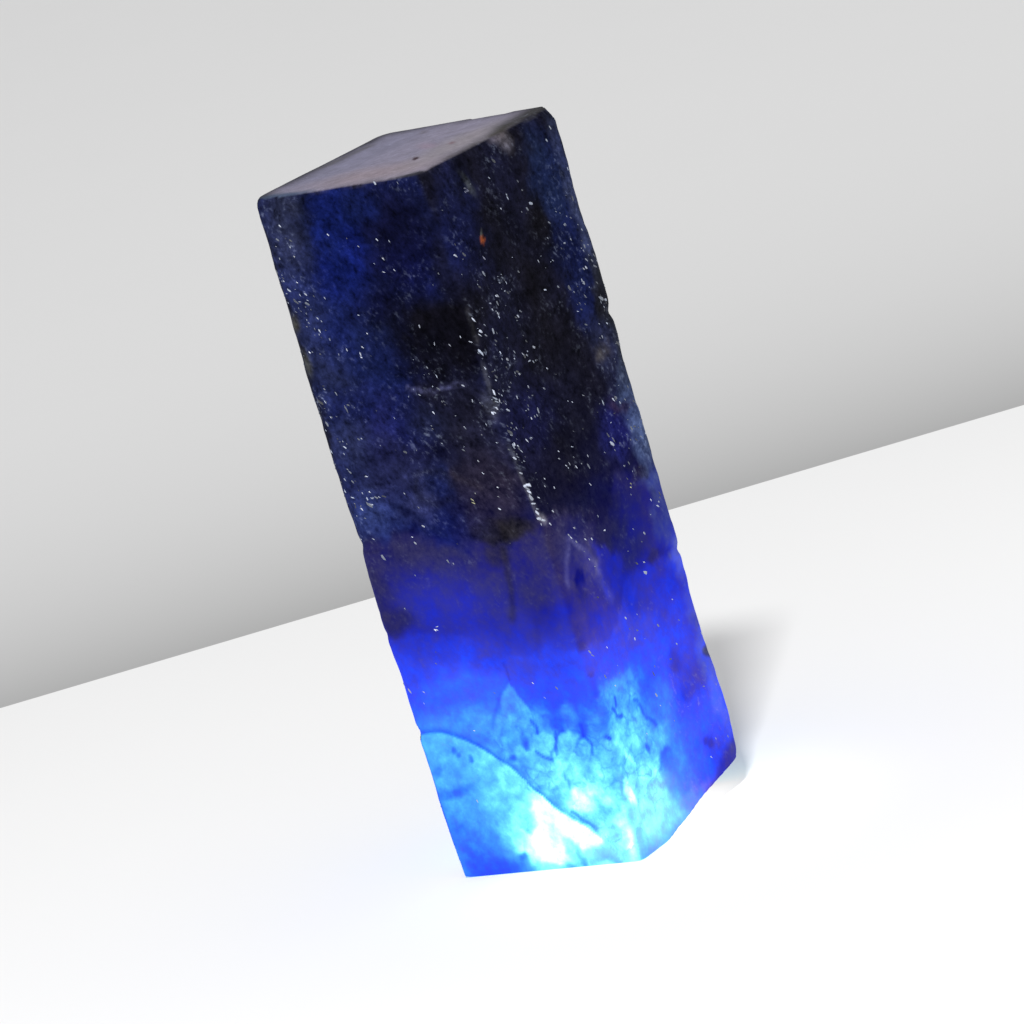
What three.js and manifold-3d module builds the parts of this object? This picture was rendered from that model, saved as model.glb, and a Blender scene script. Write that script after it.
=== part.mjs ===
// Rough sapphire chunk: an upright four-sided piece of corundum, sawn flat across the top and worn at its
// edges. Millimetres, +Z up, standing on its flat base at z = 0. It is one solid, as the stone is.
import * as THREE from "three";
import { mergeVertices } from "three/addons/utils/BufferGeometryUtils.js";
import Module from "manifold-3d";

const wasm = await Module();
wasm.setup();

// Driving sizes of the stone.
const HEIGHT = 50;
const WIDTH = 15.57; // along X, between the two side faces
const DEPTH = 16.43; // along Y, between the front and back faces
const BASE_SCALE = 0.986; // the section at the base, against the section at the top
const HALF_X = WIDTH / 2;
const HALF_Y = DEPTH / 2;

// Radius of the four upright edges. The key says which sides meet there.
const EDGE_FRONT_RIGHT = 0.8;
const EDGE_BACK_RIGHT = 1.3;
const EDGE_BACK_LEFT = 1.5;
const EDGE_FRONT_LEFT = 1.6;

// The front right edge wanders sideways on its way down.
const EDGE_WANDER = 1.0;
const EDGE_WANDER_TOP = -0.5;
const WANDER_HEADING = THREE.MathUtils.degToRad(38.3);

// Worn rims, round the base and round the sawn top.
const BASE_RIM = 0.4;
const TOP_RIM_IN = 0.45;
const TOP_RIM_DOWN = 0.9;
const RIM = Math.max(BASE_RIM, TOP_RIM_IN);

// How finely the blank is divided.
const STEPS_SIDE = 6;
const STEPS_EDGE = 4;
const STEPS_QUARTER = 2 * STEPS_SIDE + STEPS_EDGE;
const STEPS_ROUND = 4 * STEPS_QUARTER;
const ROWS = 50;
const RIM_ROWS = 4;
const CAP_RINGS = 3;

// Lumps and hollows of the broken faces: their size across and how far they stand out.
const SWELL_SIZE = 6.5;
const SWELL_RELIEF = 0.14;
const SWELL_SEED = 34;
const LUMP_SIZE = 2.6;
const LUMP_RELIEF = 0.08;
const LUMP_SEED = 40;

// Share of a scar's bowl that lies outside the face it was struck from.
const BOWL_OUTSIDE = 0.32;

const { degToRad, lerp, smoothstep } = THREE.MathUtils;

// Whole-number hash of a lattice point, from -1 to 1.
function hash(i, j, k) {
  let h = Math.imul(i, 374761393) + Math.imul(j, 668265263) + Math.imul(k, 1440662683);
  h = Math.imul(h ^ (h >>> 13), 1274126177);
  h ^= h >>> 16;
  return ((h >>> 0) / 4294967295) * 2 - 1;
}

// Smooth noise: the hash at the eight lattice points around (x, y, z), blended by smooth steps.
function noise(x, y, z) {
  const cell = [x, y, z].map(Math.floor);
  const [u, v, w] = [x, y, z].map((value, axis) => smoothstep(value - cell[axis], 0, 1));
  const along = (j, k) =>
    lerp(hash(cell[0], cell[1] + j, cell[2] + k), hash(cell[0] + 1, cell[1] + j, cell[2] + k), u);
  const across = (k) => lerp(along(0, k), along(1, k), v);
  return lerp(across(0), across(1), w);
}

// A parting is a shallow open crack that runs in from an upright edge, nearly level.
const partings = [
  { edge: [-HALF_X, -HALF_Y], height: 24.8, fall: 0.05, open: 0.45, deep: 0.15, reach: 4.5 },
  { edge: [-HALF_X, -HALF_Y], height: 18.2, fall: 0.03, open: 0.4, deep: 0.1, reach: 6 },
  { edge: [HALF_X, HALF_Y], height: 35, fall: 0, open: 0.45, deep: 0.18, reach: 3.5 },
  { edge: [HALF_X, HALF_Y], height: 17.4, fall: -0.18, open: 0.35, deep: 0.2, reach: 5 },
  { edge: [-HALF_X, HALF_Y], height: 29.5, fall: 0.1, open: 0.45, deep: 0.25, reach: 5 },
];

// How far the side stands out at a point of the outline: swells, lumps, and the partings cut into them.
function relief(x, y, z) {
  const swell = noise(x / SWELL_SIZE + SWELL_SEED, y / SWELL_SIZE, z / SWELL_SIZE);
  const lump = noise(x / LUMP_SIZE + LUMP_SEED, y / LUMP_SIZE, z / LUMP_SIZE);
  let out = SWELL_RELIEF * swell + LUMP_RELIEF * lump;
  for (const { edge, height, fall, open, deep, reach } of partings) {
    const run = Math.hypot(x - edge[0], y - edge[1]);
    const above = z - height + fall * run;
    out -= deep * Math.exp(-((above / open) ** 2) - (run / reach) ** 2);
  }
  return out * smoothstep(z, 0, 2);
}

// Where the outline lies at a turn round the axis (0 to 1 from the middle of the front) and a height:
// straight sides joined by quarter circles, with the relief added. Gives the point and the way out of it.
function outline(turn, z) {
  const quarter = Math.floor(turn * 4) % 4;
  const step = (turn * 4 - Math.floor(turn * 4)) * STEPS_QUARTER;
  const scale = lerp(BASE_SCALE, 1, z / HEIGHT);
  const radius = [EDGE_FRONT_RIGHT, EDGE_BACK_RIGHT, EDGE_BACK_LEFT, EDGE_FRONT_LEFT][quarter];
  const [along, across] = quarter % 2 ? [HALF_Y * scale, HALF_X * scale] : [HALF_X * scale, HALF_Y * scale];
  const bend = degToRad(90) * THREE.MathUtils.clamp((step - STEPS_SIDE) / STEPS_EDGE, 0, 1);
  const start = (Math.min(step, STEPS_SIDE) / STEPS_SIDE) * (along - radius);
  const end = (Math.max(step - STEPS_SIDE - STEPS_EDGE, 0) / STEPS_SIDE) * (across - radius);
  // In the quarter's own frame: +x runs along its first side, -y faces out of it.
  const point = new THREE.Vector2(start + radius * Math.sin(bend), -across + radius * (1 - Math.cos(bend)) + end);
  const out = new THREE.Vector2(Math.sin(bend), -Math.cos(bend));
  const centre = new THREE.Vector2();
  point.rotateAround(centre, degToRad(90) * quarter);
  out.rotateAround(centre, degToRad(90) * quarter);
  return { point: point.addScaledVector(out, relief(point.x, point.y, z)), out };
}

// The front right edge's sideways wander, fading to nothing at the other three edges.
function wander(point, z) {
  const share = ((1 + point.x / HALF_X) / 2) * ((1 - point.y / HALF_Y) / 2);
  const shift = EDGE_WANDER * (1 - smoothstep(z, 22, 35)) + EDGE_WANDER_TOP * smoothstep(z, 45, 50);
  return new THREE.Vector2(Math.cos(WANDER_HEADING), Math.sin(WANDER_HEADING)).multiplyScalar(share * shift);
}

// Half profile of a plain round bar, from the base's centre over both worn rims to the top's centre.
function barProfile(radius) {
  const profile = [];
  const ring = (inset, height) => profile.push(new THREE.Vector2(radius - inset, height));
  for (let i = 0; i < CAP_RINGS; i += 1) {
    profile.push(new THREE.Vector2(((radius - RIM) * i) / CAP_RINGS, 0));
  }
  for (let i = 0; i < RIM_ROWS; i += 1) {
    const turn = degToRad(90) * (i / RIM_ROWS);
    ring(BASE_RIM * (1 - Math.sin(turn)), BASE_RIM * (1 - Math.cos(turn)));
  }
  for (let i = 0; i <= ROWS; i += 1) {
    ring(0, lerp(BASE_RIM, HEIGHT - TOP_RIM_DOWN, i / ROWS));
  }
  for (let i = 1; i <= RIM_ROWS; i += 1) {
    const turn = degToRad(90) * (i / RIM_ROWS);
    ring(TOP_RIM_IN * (1 - Math.cos(turn)), HEIGHT - TOP_RIM_DOWN * (1 - Math.sin(turn)));
  }
  for (let i = CAP_RINGS - 1; i >= 0; i -= 1) {
    profile.push(new THREE.Vector2(((radius - RIM) * i) / CAP_RINGS, HEIGHT));
  }
  return profile;
}

// The blank: the round bar, with each point moved to its place on the four-sided outline.
function blankGeometry() {
  const bar = new THREE.LatheGeometry(barProfile(HALF_X), STEPS_ROUND);
  bar.rotateX(degToRad(90));
  const position = bar.getAttribute("position");
  for (let i = 0; i < position.count; i += 1) {
    const z = position.getZ(i);
    const radius = Math.hypot(position.getX(i), position.getY(i));
    const angle = Math.atan2(position.getX(i), -position.getY(i));
    const turn = Math.round((angle / degToRad(360)) * STEPS_ROUND + STEPS_ROUND) % STEPS_ROUND;
    const { point, out } = outline(turn / STEPS_ROUND, z);
    point.add(wander(point, z));
    point.addScaledVector(out, -Math.min(HALF_X - radius, RIM));
    point.multiplyScalar(Math.min(radius / (HALF_X - RIM), 1));
    position.setXY(i, point.x, point.y);
  }
  return bar;
}

// The solid inside a closed geometry.
function solidFrom(geometry) {
  geometry.deleteAttribute("normal");
  geometry.deleteAttribute("uv");
  const merged = mergeVertices(geometry, 1e-4);
  const vertProperties = new Float32Array(merged.getAttribute("position").array);
  const triVerts = new Uint32Array(merged.index.array);
  return new wasm.Manifold(new wasm.Mesh({ numProp: 3, vertProperties, triVerts }));
}

// The bowl that a blow takes out: a flattened ball whose cap reaches `deep` below the point `at`, and is
// `wide` by `tall` across where it meets the face. `facing` is the face's heading round the stone from the
// front, and its slope up from level, in degrees.
function bowl({ at, facing, wide, tall, deep, detail = 3 }) {
  const ball = new THREE.IcosahedronGeometry(1, detail);
  const spread = Math.sqrt(1 - BOWL_OUTSIDE ** 2);
  const thick = deep / (1 - BOWL_OUTSIDE);
  ball.scale(wide / 2 / spread, thick, tall / 2 / spread);
  ball.translate(0, -BOWL_OUTSIDE * thick, 0);
  ball.rotateX(-degToRad(facing[1]));
  ball.rotateZ(degToRad(facing[0]));
  ball.translate(...at);
  return solidFrom(ball);
}

// Every scar and chip, named by where it is. Headings: 0 front, 90 right, 180 back, 270 left.
const scars = {
  baseBackRight: { at: [HALF_X, HALF_Y, 0], facing: [114, -68], wide: 46, tall: 46, deep: 2.2, detail: 9 },
  baseCornerRight: { at: [HALF_X, HALF_Y, 1], facing: [132, -26], wide: 6, tall: 7.4, deep: 1.5 },
  baseNotchRight: { at: [HALF_X, 0.6, 0], facing: [90, -42], wide: 3.4, tall: 2.4, deep: 0.8, detail: 2 },
  edgeFrontRight: { at: [8.3, -7.3, 20.6], facing: [72, 0], wide: 7.4, tall: 14.5, deep: 0.5, detail: 4 },
  edgeNickHigh: { at: [7.5, -7.9, 33.3], facing: [38, 0], wide: 1.4, tall: 1.9, deep: 0.26, detail: 1 },
  edgeNickMiddle: { at: [8, -7.7, 28.3], facing: [38, 0], wide: 1.3, tall: 1.6, deep: 0.3, detail: 1 },
  edgeNickLow: { at: [8.3, -7.5, 25.3], facing: [38, 0], wide: 1.3, tall: 2.4, deep: 0.26, detail: 1 },
  rimFrontLeft: { at: [-6.2, -HALF_Y, 50], facing: [352, 8], wide: 4.6, tall: 8, deep: 0.42 },
  rimLeft: { at: [-HALF_X, 1.6, 50], facing: [270, 42], wide: 8, tall: 1.5, deep: 0.3 },
  rimCornerRight: { at: [7.4, 7.9, 50], facing: [135, 22], wide: 3.6, tall: 3.6, deep: 0.55, detail: 2 },
  rimRight: { at: [HALF_X, 4.4, 50], facing: [96, 48], wide: 4.2, tall: 1.8, deep: 0.36, detail: 2 },
  rimBack: { at: [2.4, HALF_Y, 50], facing: [180, 40], wide: 5.6, tall: 2.6, deep: 0.6, detail: 2 },
  pitRightHigh: { at: [HALF_X, -4.4, 47.9], facing: [90, 0], wide: 1.7, tall: 2.2, deep: 0.3, detail: 2 },
  pitFrontEdge: { at: [7.2, -HALF_Y, 44.2], facing: [20, 0], wide: 1.8, tall: 1.9, deep: 0.24, detail: 2 },
  leftMiddle: { at: [-HALF_X, 7.5, 27], facing: [262, 2], wide: 20, tall: 17, deep: 0.8, detail: 6 },
  leftLow: { at: [-HALF_X, 0.5, -1], facing: [270, -4], wide: 15, tall: 24, deep: 0.6, detail: 5 },
  backHigh: { at: [-8, HALF_Y, 40], facing: [202, 3], wide: 15, tall: 14, deep: 0.9, detail: 5 },
  backMiddle: { at: [-3, HALF_Y, 9], facing: [180, -3], wide: 21, tall: 25, deep: 0.7, detail: 6 },
  baseBackLeft: { at: [-HALF_X, HALF_Y, 0], facing: [225, -38], wide: 8, tall: 6, deep: 1.4 },
  edgeNickLedge: { at: [-7.44, -7.6, 10.9], facing: [308, 0], wide: 2.4, tall: 1.3, deep: 0.36, detail: 2 },
  edgeFrontLeft: { at: [-7.44, -7.6, 0.4], facing: [308, -3], wide: 4.4, tall: 14.5, deep: 0.42, detail: 5 },
  footFrontLeft: { at: [-7.3, -7.5, 0], facing: [308, -48], wide: 4, tall: 1.5, deep: 0.3, detail: 2 },
};

// The step across the front: below this line, given as x and z, the face is split off to a flat. The flat
// is turned a little, as the front is by the edge's wander; `floor` is its y on the axis.
const ledge = {
  line: [
    [-9.5, 10.9], [-6.5, 11], [-5, 10.95], [-4.2, 10.7], [-3, 10.2], [-2, 9.6], [-1, 8.75], [0, 7.9], [0.6, 7.2],
    [1.3, 6.3], [2, 5.6], [2.7, 4.8], [3.4, 4.25], [4.6, 3.3], [5.8, 2.35], [6.6, 1.2], [7.4, -0.5],
  ],
  floor: -7.605,
  turn: 2.28,
};

// What the ledge's step takes out: an upright slab in front of the flat, below the line.
function ledgeSlab({ line, floor, turn }) {
  const outline = [...line, [line.at(-1)[0], -1], [line[0][0], -1]];
  const shape = new THREE.Shape(outline.map(([x, z]) => new THREE.Vector2(x, z)));
  const slab = new THREE.ExtrudeGeometry(shape, { depth: 3, bevelEnabled: false });
  slab.rotateX(degToRad(90));
  slab.rotateZ(degToRad(turn));
  slab.translate(0, floor, 0);
  return solidFrom(slab);
}

// The stone: the blank with every scar taken out, centred on the axis it stands about.
function stoneGeometry() {
  let stone = solidFrom(blankGeometry());
  for (const scar of Object.values(scars)) {
    stone = stone.subtract(bowl(scar));
  }
  stone = stone.subtract(ledgeSlab(ledge));
  const { vertProperties, triVerts } = stone.getMesh();
  const geometry = new THREE.BufferGeometry();
  geometry.setAttribute("position", new THREE.BufferAttribute(new Float32Array(vertProperties), 3));
  geometry.setIndex(new THREE.BufferAttribute(new Uint32Array(triVerts), 1));
  geometry.computeBoundingBox();
  const { min, max } = geometry.boundingBox;
  geometry.translate(-(min.x + max.x) / 2, -(min.y + max.y) / 2, -min.z);
  geometry.computeVertexNormals();
  return geometry;
}

// Deep blue, matt where it is ground or broken.
const sapphire = new THREE.MeshStandardMaterial({ color: 0x1c2560, roughness: 0.45, metalness: 0 });

const crystal = new THREE.Mesh(stoneGeometry(), sapphire);
crystal.name = "sapphire_crystal";

const chunk = new THREE.Group();
chunk.add(crystal);

export default chunk;
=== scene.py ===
"""A rough sapphire crystal, 50 mm tall, standing on its foot with a painted glow for light soaking up through
it.

The stone is one upright four-sided piece, sawn flat across the top and scarred at its edges. Its dark body
has a painted glow, given out as emission, for light from a lamp under it that is not in the scene: it lets
that light through where it is thin or where the lamp is near, so every point of the skin has a soak depth:
how much blue stone the light has come through to reach it. The underside is painted glowing near white,
which lights the floor round the foot. Shapes are worked out in millimetres and put into Blender in metres.
"""

import logging
from dataclasses import dataclass, field
from enum import Enum
from functools import reduce
from operator import add
from typing import Any, ClassVar, Iterable

import bpy
import numpy as np
from mathutils import Matrix, Vector


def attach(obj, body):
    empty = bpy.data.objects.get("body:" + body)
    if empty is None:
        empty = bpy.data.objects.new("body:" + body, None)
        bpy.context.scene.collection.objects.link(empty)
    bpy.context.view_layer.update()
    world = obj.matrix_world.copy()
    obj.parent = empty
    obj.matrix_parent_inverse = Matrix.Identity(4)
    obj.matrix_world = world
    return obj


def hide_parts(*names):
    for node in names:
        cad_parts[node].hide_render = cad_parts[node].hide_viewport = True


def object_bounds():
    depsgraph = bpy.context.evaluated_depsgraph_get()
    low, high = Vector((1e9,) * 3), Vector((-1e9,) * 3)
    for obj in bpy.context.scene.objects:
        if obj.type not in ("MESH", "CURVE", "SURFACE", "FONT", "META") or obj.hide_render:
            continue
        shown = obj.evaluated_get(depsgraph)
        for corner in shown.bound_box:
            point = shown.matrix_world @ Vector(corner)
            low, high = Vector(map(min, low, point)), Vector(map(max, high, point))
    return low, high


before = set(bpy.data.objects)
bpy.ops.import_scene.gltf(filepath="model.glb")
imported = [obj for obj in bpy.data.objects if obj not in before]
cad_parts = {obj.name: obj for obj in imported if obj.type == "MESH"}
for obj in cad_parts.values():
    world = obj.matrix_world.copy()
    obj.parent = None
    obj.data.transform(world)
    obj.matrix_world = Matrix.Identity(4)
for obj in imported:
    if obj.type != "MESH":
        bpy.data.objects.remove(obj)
CAD_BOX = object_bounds()

MM = 0.001
NODE = "sapphire_crystal"
BODY = "root"

log = logging.getLogger("sapphire")

Array = np.ndarray
Pair = tuple[float, float]
Triple = tuple[float, float, float]
Route = tuple[Pair, ...]


def smooth(low: float, high: float, value: Array) -> Array:
    """Eases from 0 at low to 1 at high: 3t^2 - 2t^3, where t is how far value has come from low to high.

    Args:
        low: The value at which the result leaves 0. It may be above high, which turns the step round.
        high: The value at which the result reaches 1.
        value: The values to ease.

    Returns:
        The eased shares, from 0 to 1.
    """
    share = np.clip((value - low) / (high - low), 0.0, 1.0)
    return share * share * (3.0 - 2.0 * share)


def tint(red: int, green: int, blue: int) -> Array:
    """Turns a colour as a screen shows it, 0 to 255, into linear light, 0 to 1."""
    shown = np.array([red, green, blue]) / 255.0
    return np.where(shown <= 0.04045, shown / 12.92, ((shown + 0.055) / 1.055) ** 2.4)


# How far the front's and the right face's flats lie from the axis, and for each millimetre that a mark lies
# below its flat, how far its place slides along the face: to the right, and up.
FRONT_FLAT, RIGHT_FLAT = 8.215, 7.787
FRONT_SLIDE, RIGHT_SLIDE = (0.789, 0.271), (-1.267, 0.344)


class Side(Enum):
    """The four upright faces, in the order a turn round the stone meets them."""

    FRONT = 0
    RIGHT = 1
    BACK = 2
    LEFT = 3

    def spread(self, points: Array) -> tuple[Array, Array]:
        """The two coordinates that marks on the face are given in: to the right as seen from outside, and up.

        A mark is given where it would lie on the face's flat, and goes on inward from there along a slant.
        So a point sunk below the flat counts as lying slide * sunk further along.

        Args:
            points: The skin, in millimetres.

        Returns:
            How far across the face each point lies, and how high.
        """
        x, y, z = points[..., 0], points[..., 1], points[..., 2]
        level = 0.0 * x
        across, sunk, slide = (
            (x, y + FRONT_FLAT, FRONT_SLIDE),
            (y, RIGHT_FLAT - x, RIGHT_SLIDE),
            (-x, level, (0.0, 0.0)),
            (-y, level, (0.0, 0.0)),
        )[self.value]
        return across + slide[0] * sunk, z + slide[1] * sunk


class StoneNoise:
    """Smooth noise in three dimensions, from whole-number hashes, so that it is the same on each run."""

    FACTORS: ClassVar[tuple[int, int, int]] = (374761393, 668265263, 1440662683)
    MIXER: ClassVar[int] = 1274126177
    WORD: ClassVar[int] = 0xFFFFFFFF
    LAYER_SHIFT: ClassVar[float] = 17.0
    LAYER_SHARE: ClassVar[float] = 0.55

    @classmethod
    def hash(cls, i: Array, j: Array, k: Array) -> Array:
        """A number from -1 to 1 for each lattice point (i, j, k): multiply, fold the high bits in, repeat.

        Args:
            i: The lattice points' first whole numbers.
            j: Their second ones.
            k: Their third ones.

        Returns:
            The numbers.
        """
        mixed = (i * cls.FACTORS[0] + j * cls.FACTORS[1] + k * cls.FACTORS[2]) & cls.WORD
        mixed = ((mixed ^ (mixed >> 13)) * cls.MIXER) & cls.WORD
        mixed = mixed ^ (mixed >> 16)
        return mixed / cls.WORD * 2.0 - 1.0

    @classmethod
    def at(cls, points: Array, size: float, seed: float = 0.0) -> Array:
        """The hash at the eight lattice points round each point, blended by smooth steps.

        Args:
            points: Places in millimetres, with x, y and z along the last axis.
            size: Width of a lattice cell, which is about the width of a lump.
            seed: Shift of the lattice along x, in cells.

        Returns:
            One number from -1 to 1 for each point.
        """
        scaled = points / size + np.array([seed, 0.0, 0.0])
        cell = np.floor(scaled).astype(np.int64)
        ease = smooth(0.0, 1.0, scaled - cell)
        total = np.zeros(points.shape[:-1])
        for corner in np.ndindex(2, 2, 2):
            share = np.prod([ease[..., a] if corner[a] else 1.0 - ease[..., a] for a in range(3)], axis=0)
            total += share * cls.hash(*(cell[..., a] + corner[a] for a in range(3)))
        return total

    @classmethod
    def layered(cls, points: Array, size: float, layers: int, seed: float = 0.0) -> Array:
        """Noise at a size, its half, its quarter and so on, each layer weaker than the one before.

        Args:
            points: Places in millimetres.
            size: The first layer's size.
            layers: How many layers there are.
            seed: Shift of the first layer's lattice.

        Returns:
            One number from -1 to 1 for each point.
        """
        total = np.zeros(points.shape[:-1])
        shares = [cls.LAYER_SHARE**layer for layer in range(layers)]
        for layer, share in enumerate(shares):
            total += share * cls.at(points, size / 2**layer, seed + cls.LAYER_SHIFT * layer)
        return total / sum(shares)


@dataclass(frozen=True)
class Parting:
    """A shallow open crack that runs in from an upright edge, nearly level."""

    edge: Pair
    height: float
    fall: float
    open: float
    deep: float
    reach: float

    def depth(self, x: Array, y: Array, z: Array) -> Array:
        """deep * exp(-(above / open)^2 - (run / reach)^2), where run is the way in from the edge.

        Args:
            x: Each place's x.
            y: Its y.
            z: Its height.

        Returns:
            How deep the parting is there.
        """
        run = np.hypot(x - self.edge[0], y - self.edge[1])
        above = z - self.height + self.fall * run
        return self.deep * np.exp(-((above / self.open) ** 2) - (run / self.reach) ** 2)


@dataclass(frozen=True)
class Scar:
    """The bowl that a blow took out: part of a flattened ball that reaches `deep` below the point `at`."""

    OUTSIDE: ClassVar[float] = 0.32
    FURTHEST: ClassVar[float] = 0.9

    at: Triple
    facing: Pair
    wide: float
    tall: float
    deep: float

    def _to_ball(self) -> tuple[Array, Array]:
        """Finds the frame in which the bowl is a ball of radius 1.

        Returns:
            The matrix and the centre that turn a point into that frame.
        """
        facing = np.radians(self.facing)
        (cos_turn, cos_tip), (sin_turn, sin_tip) = np.cos(facing), np.sin(facing)
        turn = np.array([[cos_turn, -sin_turn, 0.0], [sin_turn, cos_turn, 0.0], [0.0, 0.0, 1.0]])
        tip = np.array([[1.0, 0.0, 0.0], [0.0, cos_tip, sin_tip], [0.0, -sin_tip, cos_tip]])
        axes = turn @ tip
        spread = np.sqrt(1.0 - self.OUTSIDE**2)
        thick = self.deep / (1.0 - self.OUTSIDE)
        size = np.array([self.wide / 2 / spread, thick, self.tall / 2 / spread])
        centre = np.array(self.at) + axes @ np.array([0.0, -self.OUTSIDE * thick, 0.0])
        return (axes / size).T, centre

    def cut(self, points: Array, heart: Array) -> Array:
        """Moves each point that lies inside the bowl towards the stone's heart until it leaves the bowl.

        With q the point and d the way to the heart, both in the ball's frame, the point leaves the ball at
        the larger root t of |q + t d|^2 = 1.

        Args:
            points: The skin, in millimetres.
            heart: For each point, the point of the stone's core that it looks at.

        Returns:
            The skin with this scar cut in.
        """
        matrix, centre = self._to_ball()
        place = (points - centre) @ matrix.T
        way = (heart - points) @ matrix.T
        inside = np.sum(place**2, axis=-1) < 1.0
        a = np.sum(way**2, axis=-1)
        b = np.sum(place * way, axis=-1)
        c = np.sum(place**2, axis=-1) - 1.0
        share = (-b + np.sqrt(np.maximum(b * b - a * c, 0.0))) / a
        share = np.where(inside, np.clip(share, 0.0, self.FURTHEST), 0.0)
        return points + (heart - points) * share[..., None]


# The ledge's line over the front, from left to right: across and up.
LEDGE_LINE = (
    (-9.5, 10.9), (-6.5, 11), (-5, 10.95), (-4.2, 10.7), (-3, 10.2), (-2, 9.6), (-1, 8.75),
    (0, 7.9), (0.6, 7.2), (1.3, 6.3), (2, 5.6), (2.7, 4.8), (3.4, 4.25), (4.6, 3.3), (5.8, 2.35),
    (6.6, 1.2), (7.4, -0.5),
)


@dataclass(frozen=True)
class Ledge:
    """The step across the front. Below its line the face is split off to a flat that is turned a little."""

    line: Route = LEDGE_LINE
    floor: float = -7.605
    turn: float = 2.28
    steep: float = 0.1

    def cut(self, points: Array) -> Array:
        """Pushes the front back to the flat where it lies below the line, easing in over `steep` millimetres.

        Args:
            points: The skin, in millimetres.

        Returns:
            The skin with the step cut in.
        """
        along, height = np.array(self.line).T
        below = np.interp(points[..., 0], along, height) - points[..., 2]
        flat = self.floor + np.tan(np.radians(self.turn)) * points[..., 0]
        share = smooth(0.0, self.steep, below) * (points[..., 0] < along[-1])
        pushed = points.copy()
        pushed[..., 1] += share * np.maximum(flat - points[..., 1], 0.0)
        return pushed


@dataclass(frozen=True)
class Blank:
    """The uncut prism: straight sides joined by round edges, tapering a little, with worn rims."""

    height: float = 50.0
    width: float = 15.57
    depth: float = 16.43
    base_scale: float = 0.986
    edges: tuple[float, ...] = (0.8, 1.3, 1.5, 1.6)
    edge_wander: float = 1.0
    edge_wander_top: float = -0.5
    wander_heading: float = 38.3
    wander_end: Pair = (22.0, 35.0)
    wander_rise: Pair = (45.0, 50.0)
    base_rim: float = 0.4
    top_rim_in: float = 0.45
    top_rim_down: float = 0.9
    reliefs: tuple[Triple, ...] = ((6.5, 0.14, 34.0), (2.6, 0.08, 40.0))
    plain_foot: float = 2.0

    @property
    def half_x(self) -> float:
        """Half the width, from the axis to a side face."""
        return self.width / 2

    @property
    def half_y(self) -> float:
        """Half the depth, from the axis to the front or the back."""
        return self.depth / 2

    @property
    def partings(self) -> tuple[Parting, ...]:
        """The five partings: two on the front left edge, two on the back right and one on the back left.

        Returns:
            The partings.
        """
        x, y = self.half_x, self.half_y
        return (
            Parting((-x, -y), 24.8, 0.05, 0.45, 0.15, 4.5),
            Parting((-x, -y), 18.2, 0.03, 0.4, 0.1, 6.0),
            Parting((x, y), 35.0, 0.0, 0.45, 0.18, 3.5),
            Parting((x, y), 17.4, -0.18, 0.35, 0.2, 5.0),
            Parting((-x, y), 29.5, 0.1, 0.45, 0.25, 5.0),
        )

    def relief(self, points: Array) -> Array:
        """How far the side stands out: swells plus lumps less the partings, fading to nothing at the foot.

        Args:
            points: Places in millimetres.

        Returns:
            The distance out, below 0 where the side is sunk.
        """
        out = sum(relief * StoneNoise.at(points, size, seed) for size, relief, seed in self.reliefs)
        for parting in self.partings:
            out = out - parting.depth(points[..., 0], points[..., 1], points[..., 2])
        return out * smooth(0.0, self.plain_foot, points[..., 2])

    def outline(
        self, quarter: Array, side_in: Array, bend: Array, side_out: Array, z: Array
    ) -> tuple[Array, Array]:
        """Where the side lies, and the way out of it.

        A quarter runs from the middle of one face to the middle of the next. In its own frame, +x runs
        along its first face and -y faces out of it: a straight run, a quarter circle, a straight run.

        Args:
            quarter: Which quarter each point is in, 0 to 3.
            side_in: Share of the first straight run, 0 to 1.
            bend: Angle turned round the edge, in radians.
            side_out: Share of the second straight run, 0 to 1.
            z: Height.

        Returns:
            The points, and the level directions out of them.
        """
        scale = self.base_scale + (1.0 - self.base_scale) * z / self.height
        radius = np.array(self.edges)[quarter]
        odd = quarter % 2 == 1
        along = np.where(odd, self.half_y, self.half_x) * scale
        beside = np.where(odd, self.half_x, self.half_y) * scale
        run = side_in * (along - radius) + radius * np.sin(bend)
        rise = -beside + radius * (1.0 - np.cos(bend)) + side_out * (beside - radius)
        cosine, sine = np.cos(quarter * np.pi / 2), np.sin(quarter * np.pi / 2)
        point = np.stack([run * cosine - rise * sine, run * sine + rise * cosine, z + 0.0 * run], -1)
        out_x, out_y = np.sin(bend), -np.cos(bend)
        out = np.stack([out_x * cosine - out_y * sine, out_x * sine + out_y * cosine, 0.0 * run], -1)
        return point + out * self.relief(point)[..., None], out

    def wander(self, points: Array) -> Array:
        """The front right edge's sideways shift, which fades to nothing at the other three edges.

        Args:
            points: Places in millimetres.

        Returns:
            The shift of each place.
        """
        share = ((1 + points[..., 0] / self.half_x) / 2) * ((1 - points[..., 1] / self.half_y) / 2)
        z = points[..., 2]
        low = self.edge_wander * (1.0 - smooth(*self.wander_end, z))
        shift = share * (low + self.edge_wander_top * smooth(*self.wander_rise, z))
        heading = np.radians(self.wander_heading)
        return shift[..., None] * np.array([np.cos(heading), np.sin(heading), 0.0])


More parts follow.
